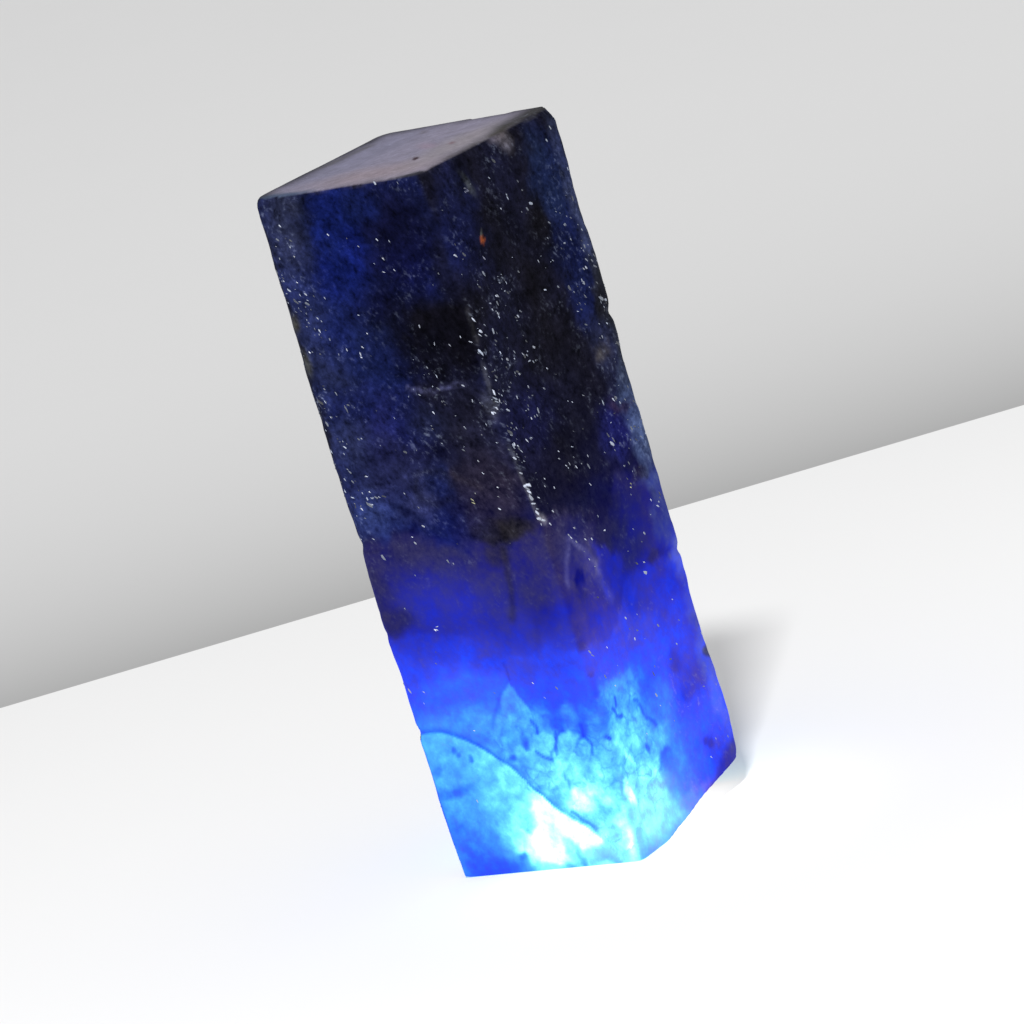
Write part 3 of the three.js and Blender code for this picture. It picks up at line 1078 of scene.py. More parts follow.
    tints: Layers = (
        Spot((-2.5, 38), (4.8, 7), (21, 29, 70), 0.5), Spot((-1.2, 46.4), (2.4, 3.8), ROYAL, 0.5, 0.85),
        Spot((3.8, 45.6), (3.2, 4.2), (12, 14, 46), 0.6, 0.9),
        Spot((1.2, 48.2), (1.4, 1.2), (18, 28, 78), 0.7, 0.8),
        Spot((0.6, 41.2), (2.2, 1.8), (10, 12, 42), 0.7, 0.85),
        Spot((7.2, 43), (1.1, 3.6), (16, 16, 29), 0.7, 0.8),
        Spot((-2.6, 32.5), (3.6, 3), INDIGO, 0.6, 0.9), Spot((5.2, 31.5), (3.4, 5.5), ASH, 0.5, 0.95),
        Spot((5, 38.5), (4.4, 3), NIGHT, 0.45, 0.95), Spot((4.5, 34), (4, 2), (20, 20, 34), 0.6, 0.8),
        Spot((-5.8, 36), (2, 14), (36, 42, 76), 0.7, 0.85),
        Spot((-5.8, 47.5), (1.7, 3), (42, 47, 78), 0.7, 0.8),
        Spot((-4.9, 27), (2.3, 1.6), STEEL, 0.5, 0.85),
        Spot((-2.2, 29), (3, 1.6), (40, 44, 84), 0.7, 0.7), Spot((5.2, 27), (2.9, 3.2), UMBER, 0.5, 0.8),
        Spot((0.9, 28.4), (1.2, 1.1), (24, 32, 78), 0.6, 0.7),
        Spot((0, 31), (3, 1.2), (30, 32, 60), 0.7, 0.6),
        Spot((5.4, 24.7), (1.2, 1.2), (32, 31, 36), 0.6, 0.8),
        Spot((-7.4, 40), (0.7, 10), SOOT, 0.5, 0.8),
        Spot((2.2, 33.2), (1.2, 1.2), (36, 42, 74), 0.8, 0.3),
        Spot((-4.2, 35), (1.7, 1.2), (15, 21, 64), 0.7, 0.8),
        Spot((3.4, 35.7), (1.8, 0.8), (16, 15, 24), 0.7, 0.8),
        Spot((1.9, 31), (1.9, 0.9), (14, 15, 38), 0.7, 0.85),
        Spot((-1.2, 27), (1.5, 0.7), (46, 51, 93), 0.7, 0.8),
    )
    veins: Layers = (
        Crack(((-3.4, 27.6), (-1.5, 26.6), (0.5, 25)), (16, 22, 52), 0.25, 0.8),
        Crack(((-1, 28.6), (-0.5, 29.4), (0.6, 29.6), (1.8, 29.2), (2.3, 28.4)), (20, 22, 40), 0.35, 0.7),
        Crack(((-1.1, 28.4), (-0.6, 27.5), (0.4, 27.1), (1.6, 27.4)), (20, 22, 40), 0.3, 0.7),
        Crack(((-3.4, 49.6), (-3.6, 47.6), (-3.9, 45.6)), (22, 28, 58), 0.25, 0.7),
        Crack(((0.9, 35.6), (2.2, 35.25), (3.2, 35.2), (5.9, 35.25)), PALE_VEIN, 0.12, 0.35),
        Crack(((2.5, 29.2), (3.6, 28.6), (4.4, 27.9)), (48, 44, 56), 0.3, 0.7),
        Spot((7.4, 33.6), (0.5, 1), (92, 94, 108), 0.8, 0.35),
        Spot((-7.2, 41), (0.5, 0.7), (110, 108, 96), 0.8, 0.45),
        Spot((-6.9, 38.3), (0.4, 0.8), (96, 98, 96), 0.8, 0.45),
    )
    crackles: Layers = (
        Region(((-1.4, 8.8), (-0.4, 11.6), (2, 12.6), (9, 12.2), (9, -1), (6.4, 1.2), (2, 5.4)), 1, 0.7),
    )
    scar_fall: float = 0.045
    ledge_blur: float = 0.12
    ledge_shade: float = 1.6
    shade_drop: float = 0.14
    shade_width: float = 0.25

    def scarred(self, depth: Array, places: Places) -> Array:
        """Below the ledge lies the scar, and a thin shade runs along the ledge.

        The scar's depth is the ledge's own plus scar_fall * below^2, with spots on it. The shade adds
        ledge_shade * exp(-((below + shade_drop) / shade_width)^2) to the depth above the scar.

        Args:
            depth: The face's depth without the scar.
            places: The face's points.

        Returns:
            The depth at each point.
        """
        below = -self.ledge.above(*places.shaken(0.35))
        along, rim = np.array(self.ledge_depths).T
        scar = np.interp(places.across, along, rim) + self.scar_fall * np.maximum(below, 0.0) ** 2
        scar = laid(scar, self.scar_spots, *places.shaken(1.0))
        depth = depth + self.ledge_shade * np.exp(-(((below + self.shade_drop) / self.shade_width) ** 2))
        return depth + (scar - depth) * smooth(-self.ledge_blur, self.ledge_blur, below)


@dataclass
class RightLook(FaceLook):
    """The right face. Its left part has a painted glow, as if lit through a glassy zone; the rest lies behind
    more stone.
    """

    side: Side = Side.RIGHT
    ground_tint: Colour = GRAPHITE
    light: float = 1.03
    ground_dust: float = 0.45
    haze_tint: Colour = (38, 34, 44)
    hazes: Layers = (
        Spot((1.4, 21.6), (3.2, 3.8), (24, 26, 40), 0.7, 0.9),
        Spot((-4.6, 21), (2, 3), (46, 44, 58), 0.6), Spot((-3.2, 23.2), (1, 0.7), (30, 31, 42), 0.7, 0.8),
        # The pale spots by the edge, across 6.8 to 6.9, are partly the stone's paler colour and partly
        # painted sheen at the rounded edge.
        Spot((6.9, 20.6), (1.1, 2), (52, 58, 80), 0.7, 0.85),
        Spot((6.9, 23.6), (1.1, 1.4), (66, 78, 106), 0.7, 0.85),
        Spot((6.9, 17.5), (1.1, 1.4), (92, 100, 112), 0.6, 0.85),
        Spot((-4, 14.4), (3.6, 2.8), (68, 58, 66), 0.7, 0.85),
        Spot((3.6, 8), (4.6, 6.6), (62, 52, 62), 0.7, 0.85),
        Spot((0.2, 14.2), (2, 1.6), (60, 54, 60), 0.7, 0.7),
        Spot((6.9, 9), (1, 5), (80, 84, 84), 0.7, 0.8), Spot((-4.8, 2), (4.4, 2.6), (104, 106, 108), 0.8),
        Spot((-3.6, 20.6), (1.2, 1.9), (62, 60, 80), 0.7, 0.7),
        Spot((-5.2, 19.4), (0.55, 1), (14, 14, 34), 0.5, turn=-8),
        Spot((0.6, 1.2), (2.4, 1), (112, 96, 104), 0.7, 0.8),
    )
    dusts: Layers = (
        Spot((-5.6, 35), (2.8, 7), 1.2, 0.5), Spot((-7.9, 27), (0.9, 3.6), 2.6, 0.6),
        Spot((-7.9, 36.5), (0.7, 5), 1.9, 0.6), Spot((5.6, 33), (2.4, 12), 1.1, 0.5),
        Spot((-3, 20.5), (1.6, 2.6), 1.4, 0.5), Spot((-4.6, 15.4), (3.4, 3.4), 2.2, 0.5),
        Spot((3.4, 9), (5, 8), 1.5, 0.5),
    )
    low_break: Border = Border((
        (-8.4, 15.6), (-6.4, 15.5), (-4, 15), (-2, 15.5), (-0.6, 17), (0.1, 18.2), (2.2, 18.2),
        (3.6, 17.9), (5, 17.7), (5.8, 17.3), (8.4, 17.5),
    ))
    high_break: Border = Border((
        (-8.4, 25), (-5.5, 24.6), (-4, 24.3), (-2.6, 23.7), (-1.8, 22.7), (-1.1, 21.9), (-0.4, 22.4),
        (0.5, 23), (1.3, 23.6), (2.1, 24.7), (3.5, 24.8), (5, 24), (8.4, 23.9),
    ))
    glass_edge: Route = (
        (0.2, -0.6), (1.4, -1.2), (2.2, -1.5), (3.5, -1.8), (5.1, -2), (5.6, -1.7), (6, -0.9),
        (7.5, -0.3), (7.9, -1.2), (8.6, -2), (9.8, -2.3), (11, -1.9), (12.5, -1.3), (14, -0.6), (50, 0),
    )
    depths: Layers = (
        Spot((-0.4, 22), (1.9, 1.9), 34, 0.7, 0.8), Spot((0.8, 23.6), (1.2, 0.8), 36, 0.7, 0.7),
        Spot((1.6, 19.6), (2.2, 0.8), 27.5, 0.7, 0.7), Spot((-1.6, 14), (3.4, 1.5), 18, 0.8, 0.65),
        Spot((1, 11.2), (2.2, 1.6), 15.4, 0.8, 0.65), Spot((1.2, 16.5), (1.8, 1), 18.6, 0.8, 0.65),
        Spot((4.6, 3.4), (1.8, 1), 19, 0.8, 0.6), Spot((-4.3, 11.2), (2.1, 1.3), 10.3, 0.4, 0.9),
        Region(((-8.6, 11.75), (-6.15, 11.9), (-6, 15), (-8.6, 15.5)), 16.8, 0.3, 0.8),
        Region(
            (
                (-8.6, 8.9), (-6.2, 8.8), (-6.5, 9.6), (-5.2, 9.6), (-4.5, 9.75), (-2.7, 9.5), (-2.2, 8.8),
                (-2.5, 6.2), (-2.8, 5), (-2.2, 3), (-1.6, 0), (-8.6, 0),
            ),
            8.1, 0.55, 0.9,
        ),
        Spot((-7.4, 10.3), (1.3, 1), 12.2, 0.5, 0.8), Spot((-1.5, 6.9), (0.9, 0.9), 9.6, 0.4, 0.9),
        Spot((-7.8, 6.6), (0.9, 0.7), 8.8, 0.8, 0.6), Spot((-7.8, 3.4), (0.8, 1.6), 8.2, 0.7, 0.8),
        Spot((-8, 0.9), (1.4, 0.9), 9.2, 0.6, 0.8), Spot((-6.15, 4.7), (0.42, 0.9), 4.3, 0.4),
        Spot((-6.2, 3), (0.45, 0.5), 5, 0.5, turn=-30), Spot((-5, 6.6), (0.28, 0.7), 6.2, 0.6, turn=30),
        Spot((-4.1, 7.6), (0.45, 0.5), 6.6, 0.6), Spot((-4, 5.3), (0.7, 0.55), 6.2, 0.8),
        Spot((-4.8, 1.6), (4, 2), 9, 0.6, 0.85), Spot((-7.9, 2.6), (0.8, 2.4), 9.6, 0.6, 0.9),
        Spot((-5, 3.4), (0.7, 0.4), 6.8, turn=-30), Spot((-4.8, 1.7), (1.3, 0.6), 7),
        Spot((-3.2, 3.2), (1.2, 1.6), 7.4, 0.7, 0.8), Spot((-3.2, 0.6), (2, 0.5), 7.6, 0.6, 0.8),
        Spot((-1.2, 0.9), (0.5, 0.35), 7.4, 0.6, 0.8),
        Spot((-4.6, 4.3), (0.5, 0.22), 7.8, 0.6, 0.8, turn=-35),
        Spot((-5.2, 5.6), (0.25, 0.6), 8.2, 0.6, 0.6, turn=25), Spot((-2.75, 6.75), (0.32, 0.3), 12, 0.5),
        Spot((0.6, 4.5), (0.8, 0.8), 11, 0.8, 0.8), Spot((-0.8, 3.5), (0.8, 0.8), 11.2, 0.8, 0.7),
        Spot((-0.9, 5.2), (1, 0.6), 12.4, 0.8, 0.7), Spot((0.7, 9.3), (0.9, 1), 12.2, 0.8, 0.8),
        Spot((0.6, 1.6), (1.4, 0.5), 12.6, 0.6, 0.7), Spot((3, 10.9), (0.9, 0.8), 20.5, 0.8, 0.8),
        Spot((3.4, 8.2), (1, 0.55), 20.5, 0.6, 0.8), Spot((5, 9), (1.8, 1.2), 20, 0.8, 0.8),
        Spot((7, 10.15), (0.5, 0.42), 30, 0.4), Spot((6.9, 12.6), (0.8, 0.3), 24, 0.7, 0.8),
        Spot((4.1, 4.4), (0.5, 0.45), 21.5, 0.6, 0.9), Spot((6.7, 15.6), (1.1, 3), 18.8, 0.6, 0.8),
        Spot((-7.4, 14), (1.4, 1.8), 17.6, 0.7, 0.7), Spot((-4.6, 10.1), (0.8, 0.35), 8.8, 0.7, 0.7),
        Spot((4.2, 16.2), (2.2, 1.5), 20.6, 0.7, 0.8), Spot((5.3, 6.6), (2.2, 1.8), 14.6, 0.7, 0.7),
        Spot((2.4, 4.4), (1.1, 2.2), 13.4, 0.7, 0.7), Spot((4, 18.2), (0.9, 0.35), 28, 0.6, 0.8),
        Spot((5.4, 24), (0.9, 0.4), 38, 0.6, 0.9), Spot((6, 22.1), (0.5, 0.5), 34, 0.7, 0.8),
        Spot((2.6, 4.6), (0.5, 0.4), 16, 0.6, 0.6),
        Region(((2.5, 1.3), (4.4, 2.4), (5.4, 3.1), (6.4, 3.5), (8.4, 4.4), (8.4, 0), (0, 0)), 23, 0.5, 0.8),
        Spot((-7, 15.7), (0.8, 0.4), 24, 0.7, 0.8),
        Region(
            (
                (-2.6, 17.4), (-2.5, 21.4), (-1.2, 20.9), (-0.8, 20.3), (0, 19.9), (0.5, 19.6), (0.2, 18.2),
                (-0.9, 17.2),
            ),
            21, 0.3, 0.85,
        ),
        Region(((-5.4, 20.3), (-4.9, 19.5), (-4.7, 18.6), (-5.6, 18.4), (-5.9, 19.2)), 27, 0.25, 0.8),
        Spot((5.6, 21.2), (1, 1.6), 26.5, 0.7, 0.7), Spot((6.4, 18.2), (0.6, 0.6), 21.5, 0.7, 0.6),
        Spot((5, 28), (1.9, 2), 31, 0.7, 0.7), Spot((-7.4, 17.4), (1.2, 1.2), 23.5, 0.7, 0.6),
        Spot((-7.3, 2.6), (0.9, 1.6), 9.2, 0.8, 0.75),
    )
    cracks: Layers = (
        Crack(((-8.3, 9.2), (-7.5, 9.15), (-6.9, 9.1), (-6.5, 8.85)), 5, 0.12),
        Crack(((-5.4, 10.6), (-5.1, 10.2), (-5.1, 9.9), (-4.6, 9.7)), 4, 0.11),
        Crack(((-4.75, 11.1), (-4.9, 10.5)), 3.5, 0.1),
        Crack(((-2.4, 9.8), (-2.1, 9), (-2, 8.6), (-1.4, 8.1), (-1.2, 7.9)), 2.6, 0.13),
        Crack(((-2.9, 10.3), (-2.5, 10.1)), 3), Crack(((-0.6, 5.9), (-1.8, 5.5), (-2, 5)), 1.6, 0.18),
        Crack(((-1.9, 4.4), (-1.7, 3.2), (-1.4, 2.2), (-1.2, 1.3), (-0.8, 0.9)), 1, 0.25),
        Crack(((-8.5, 0.1), (-4.2, 0.1), (-1.2, 0.5)), 2.4, 0.6),
    )
    tints: Layers = (
        Spot((-0.6, 38), (4.6, 13), GRAPHITE, 0.4), Spot((-6.4, 46), (2.3, 4), (17, 21, 54), 0.6, 0.9),
        Spot((-6.4, 35), (2, 4), (22, 23, 42), 0.7, 0.8),
        Spot((-5, 31), (2.4, 2.8), (23, 24, 56), 0.7, 0.8),
        Spot((4.8, 41), (1.7, 7), (19, 26, 64), 0.5, 0.9),
        Spot((4.4, 46), (1.8, 3), (24, 34, 68), 0.6, 0.8),
        Spot((5.2, 33), (1.5, 3), (32, 36, 64), 0.6, 0.8),
        Spot((3.8, 27.6), (2.2, 1.7), (24, 26, 72), 0.6, 0.9),
        # The pale spots by the edge, across 6.8 to 6.9, are partly the stone's paler colour and partly
        # painted sheen at the rounded edge.
        Spot((6.8, 27.2), (1.1, 3.4), (76, 90, 120), 0.7, 0.85),
        Spot((6.8, 40), (0.7, 10), (46, 50, 64), 0.7, 0.7),
        Spot((6.7, 36.2), (0.9, 1.7), SOOT, 0.7, 0.85),
        Spot((6.9, 44.6), (0.8, 4), (46, 54, 90), 0.7, 0.8),
        Spot((3, 41), (1.2, 1.8), (9, 11, 28), 0.7, 0.85),
        Spot((-0.8, 28.2), (2.9, 2), (17, 17, 24), 0.7, 0.8),
        Spot((4.5, 32.7), (0.8, 0.6), (92, 88, 84), 0.8, 0.4),
        Spot((5.4, 29), (1.4, 0.45), (38, 28, 38), 0.7, 0.8, turn=-12),
        Spot((5.4, 24.1), (1.4, 0.35), (30, 26, 36), 0.7, 0.8, turn=-8),
        Spot((-0.5, 24.2), (2.6, 1), (18, 22, 46), 0.8, 0.6),
        Spot((2.2, 43.4), (1.4, 1.4), (16, 15, 18), 0.7, 0.7),
    )
    veins: Layers = (
        Crack(
            ((-4.6, 22.7), (-4, 22.1), (-3.4, 21.5), (-3, 20.8), (-2.7, 20.1), (-2.6, 19.4)),
            (104, 104, 140), 0.2, 0.6,
        ),
        Crack(((-4.9, 22.5), (-5.9, 21), (-6.3, 20.2)), (82, 82, 120), 0.28, 0.6),
        Crack(((-3.4, 20.9), (-3.2, 19.6), (-2.5, 18.4), (-1.9, 17.2)), (72, 70, 104), 0.35, 0.6),
        Crack(((-8.1, 28.8), (-7.8, 27.4), (-7.5, 26.2)), (150, 152, 168), 0.22, 0.4),
        Crack(((-7.5, 26.4), (-7.3, 25.4), (-6.7, 24.5)), (160, 160, 176), 0.2, 0.4),
        Crack(((-8.2, 30.6), (-8, 29.4)), (104, 108, 124), 0.2, 0.4),
        Crack(((-8.3, 36.4), (-8.3, 33.2)), (96, 98, 108), 0.25, 0.35),
        Crack(((-8.2, 40.2), (-8.2, 38.2)), (96, 98, 104), 0.2, 0.15),
        Spot((0.8, 49.3), (0.5, 0.9), (116, 112, 122), 0.9, 0.4, turn=40),
        Spot((0.2, 49.9), (0.8, 0.3), (104, 98, 106), 0.9, 0.5),
        Spot((-4.4, 48.2), (0.25, 0.8), (98, 106, 118), 0.9, 0.3, turn=25),
        Spot((-4.4, 43.95), (0.24, 0.17), (150, 78, 46), 0.5, 0.9),
        Spot((-4.3, 44.4), (0.18, 0.14), (92, 96, 100), 0.6),
    )
    crackles: Layers = (
        Region(((-8.8, 11.6), (-2.4, 11.2), (-1, 8.2), (-1.3, 5.2), (-2.2, 1.8), (-8.8, 1)), 1, 0.8),
    )
    dim_near: float = 12.6
    dim_far: float = 16.8
    climb_from: float = 9.0
    climb_near: float = 0.85
    climb_far: float = 0.35
    glass_veil: float = 3.4

    def ground(self, places: Places) -> Array:
        """The plain ground, but right of the glassy zone's edge no less than a dim depth, and a veil on top.

        The dim depth goes from dim_near to dim_far to the right, and climbs with the height over climb_from.

        Args:
            places: The face's points.

        Returns:
            The depth at each point.
        """
        depth = super().ground(places)
        across, up = places.shaken(1.0)
        height, edge = np.array(self.glass_edge).T
        far = smooth(0.6, 3.2, across)
        slope = self.climb_near - (self.climb_near - self.climb_far) * far
        climb = slope * np.maximum(up - self.climb_from, 0.0)
        dim = self.dim_near + (self.dim_far - self.dim_near) * far + climb + 0.8 * places.swell
        beyond = smooth(-1.2, 1.5, across - np.interp(up, height, edge))
        veil = self.glass_veil * smooth(11.0, 15.5, up) * smooth(0.5, -2.5, across)
        return depth + (np.maximum(dim, depth) - depth) * beyond + veil


@dataclass
class BackLook(FaceLook):
    """The back, which is plain: two scars are painted with more glow, and the body above has a few clouds."""

    side: Side = Side.BACK
    depths: Layers = (
        Spot((3, 5), (6, 4.4), 8.6, 0.5, 0.85, turn=12), Spot((5.4, 1.6), (2.4, 1.6), 5.2, 0.7, 0.8),
        Spot((-4, 9), (3, 4), 15.5, 0.7, 0.8), Spot((0.6, 14.2), (4, 2.2), 14, 0.7, 0.7),
        Spot((-5.6, 20.4), (2.2, 3), 27, 0.7, 0.8),
    )
    cracks: Layers = (
        Crack(((-2.6, 12.4), (-1, 9.8), (-0.4, 7.4), (1.4, 5.8)), 3, 0.16),
        Crack(((3, 10.8), (4.2, 8.6), (4, 6.2)), 2.6, 0.14),
    )
    tints: Layers = (
        Spot((-1.5, 38), (4.4, 8), GRAPHITE, 0.7, 0.9), Spot((4.6, 44), (3, 5), (18, 26, 66), 0.7, 0.9),
        Spot((-5.6, 31), (2, 5), SLATE, 0.7, 0.7), Spot((2.8, 28.6), (2.6, 2), UMBER, 0.7, 0.7),
    )
    crackles: Layers = (Spot((3.5, 4.5), (5, 4.5), 0.8, 0.6),)
    dusts: Layers = (Spot((-4.6, 35), (2.6, 11), 1, 0.5), Spot((4.8, 33), (2.8, 5), 0.9, 0.5))


@dataclass
class LeftLook(FaceLook):
    """The left side: dark by the front edge, with a scar painted glowing behind its middle."""

    side: Side = Side.LEFT
    depths: Layers = (
        Spot((8.2, 3), (4.4, 9), 15, 0.5), Spot((-1.4, 5.2), (5.4, 4.6), 9, 0.5, 0.85, turn=-8),
        Spot((-4.6, 1.8), (2.6, 1.6), 5.6, 0.7, 0.8), Spot((3.4, 13.4), (3.4, 2), 17, 0.7, 0.7),
        Spot((-5.6, 13), (2.4, 3), 13.5, 0.7, 0.7),
    )
    cracks: Layers = (
        Crack(((-4.4, 11.6), (-2.6, 9.2), (-2.2, 6.8), (0.4, 5)), 3, 0.16),
        Crack(((1.8, 9.6), (2.6, 7.4), (3.8, 6.4)), 2.6, 0.14),
    )
    tints: Layers = (
        Spot((0, 40), (5, 8), (17, 20, 48), 0.7, 0.9), Spot((6.6, 38), (2, 12), (38, 42, 66), 0.7, 0.8),
        Spot((-4.6, 30), (3.4, 4.4), NIGHT, 0.6, 0.9), Spot((3.2, 28), (3, 2.4), INDIGO, 0.7, 0.8),
    )
    crackles: Layers = (Spot((-2.5, 4.5), (4.6, 4.5), 0.8, 0.6),)
    dusts: Layers = (Spot((5.6, 37), (2.6, 12), 1.1, 0.5), Spot((-3.6, 44), (3, 5), 0.7, 0.5))


class Wire:
    """A shader socket that can be used in sums: each operator adds the Math node that works it out."""

    def __init__(self, bench: "NodeBench", socket: bpy.types.NodeSocket) -> None:
        """Keeps the socket and the node bench that it belongs to."""
        self.bench = bench
        self.socket = socket

    def _math(self, operation: str, first: Any, second: Any = None) -> "Wire":
        """Adds one Math node and gives its result."""
        values = (first,) if second is None else (first, second)
        return self.bench.add("ShaderNodeMath", {"operation": operation}, dict(enumerate(values))).out(0)

    def __add__(self, other: Any) -> "Wire":
        """self + other."""
        return self._math("ADD", self, other)

    __radd__ = __add__

    def __mul__(self, other: Any) -> "Wire":
        """self * other."""
        return self._math("MULTIPLY", self, other)

    __rmul__ = __mul__

    def __sub__(self, other: Any) -> "Wire":
        """self - other."""
        return self._math("SUBTRACT", self, other)

    def __rsub__(self, other: Any) -> "Wire":
        """other - self."""
        return self._math("SUBTRACT", other, self)

    def exp(self) -> "Wire":
        """e to the power of self."""
        return self._math("EXPONENT", self)

    def at_most(self, limit: float) -> "Wire":
        """The lesser of self and a limit."""
        return self._math("MINIMUM", self, limit)

    def at_least(self, limit: float) -> "Wire":
        """The greater of self and a limit."""
        return self._math("MAXIMUM", self, limit)

    def eased(self, low: float, high: float) -> "Wire":
        """0 below low, 1 above high, and a smooth step between."""
        settings = {"interpolation_type": "SMOOTHSTEP"}
        return self.bench.add("ShaderNodeMapRange", settings, {"Value": self, 1: low, 2: high}).out(0)


class BenchNode:
    """A node that has been added, whose outputs are wires."""

    def __init__(self, bench: "NodeBench", node: bpy.types.Node) -> None:
        """Keeps the node and its bench."""
        self.bench = bench
        self.node = node

    def out(self, which: int | str) -> Wire:
        """The output of that number or name."""
        return Wire(self.bench, self.node.outputs[which])


class NodeBench:
    """A material's node tree, cleared, and the one method that adds nodes to it."""

    def __init__(self, name: str) -> None:
        """Makes the material and empties its tree.

        Args:
            name: The material's name.
        """
        self.material = bpy.data.materials.new(name)
        self.material.use_nodes = True
        self.tree = self.material.node_tree
        self.tree.nodes.clear()

    def add(self, kind: str, settings: dict[str, Any], inputs: dict[int | str, Any]) -> BenchNode:
        """Adds a node.

        Args:
            kind: The node's type name.
            settings: Its properties, which are set first, because they change its sockets.
            inputs: For each socket, by number or name, a value or a wire.

        Returns:
            The node.
        """
        node = self.tree.nodes.new(kind)
        for key, value in settings.items():
            setattr(node, key, value)
        for key, value in inputs.items():
            if isinstance(value, Wire):
                self.tree.links.new(value.socket, node.inputs[key])
            else:
                node.inputs[key].default_value = value
        return BenchNode(self, node)

    def attribute(self, name: str) -> BenchNode:
        """Reads an attribute of the mesh."""
        return self.add("ShaderNodeAttribute", {"attribute_name": name}, {})

    def place(self) -> Wire:
        """Where a point of the skin lies, in the object's own coordinates."""
        return self.add("ShaderNodeTexCoord", {}, {}).out("Object")

    def vector(self, operation: str, first: Any, *others: Any, **named: Any) -> Wire:
        """Adds one Vector Math node and gives its result."""
        inputs = dict(enumerate((first, *others))) | named
        return self.add("ShaderNodeVectorMath", {"operation": operation}, inputs).out(0)

    def measured(self, operation: str, first: Any, second: Any) -> Wire:
        """Adds one Vector Math node whose result is a number: a distance or a dot product."""
        return self.add("ShaderNodeVectorMath", {"operation": operation}, {0: first, 1: second}).out("Value")

    def grey(self, shade: Wire) -> Wire:
        """The grey colour of a shade."""
        return self.add("ShaderNodeCombineColor", {}, {0: shade, 1: shade, 2: shade}).out(0)

    def stretched(self, place: Wire, way: Triple, ratio: float) -> Wire:
        """Draws a pattern out along a unit way: place + way * (place . way) * (1 / ratio - 1)."""
        along = self.measured("DOT_PRODUCT", place, way)
        return self.vector("ADD", place, self.vector("SCALE", way, Scale=along * (1.0 / ratio - 1.0)))

    def warped(self, place: Wire, size: float, amount: float) -> Wire:
        """Shakes the places by noise of a size, up to an amount, so that patterns come out uneven.

        Args:
            place: The places.
            size: The noise's size, in millimetres.
            amount: How far they move, likewise.

        Returns:
            The shaken places.
        """
        inputs = {"Vector": place, "Scale": 1.0 / (size * MM), "Detail": 3.0}
        noise = self.add("ShaderNodeTexNoise", {}, inputs).out("Color")
        shake = self.vector("SUBTRACT", noise, (0.5, 0.5, 0.5))
        return self.vector("ADD", place, self.vector("SCALE", shake, Scale=amount * 2.0 * MM))

    def noise(self, place: Wire, size: float, detail: float, roughness: float = 0.6) -> Wire:
        """Noise about zero, from -0.5 to 0.5, with lumps of a size in millimetres."""
        inputs = {"Vector": place, "Scale": 1.0 / (size * MM), "Detail": detail, "Roughness": roughness}
        return self.add("ShaderNodeTexNoise", {}, inputs).out(0) - 0.5

    def cells(self, place: Wire, size: float, feature: str) -> BenchNode:
        """Cells of a size in millimetres, each nearer to its own middle than to any other's."""
        inputs = {"Vector": place, "Scale": 1.0 / (size * MM)}
        return self.add("ShaderNodeTexVoronoi", {"feature": feature}, inputs)

    def finish(self, shader: BenchNode) -> bpy.types.Material:
        """Joins the shader to the material's output."""
        self.add("ShaderNodeOutputMaterial", {}, {"Surface": shader.out(0)})
        return self.material


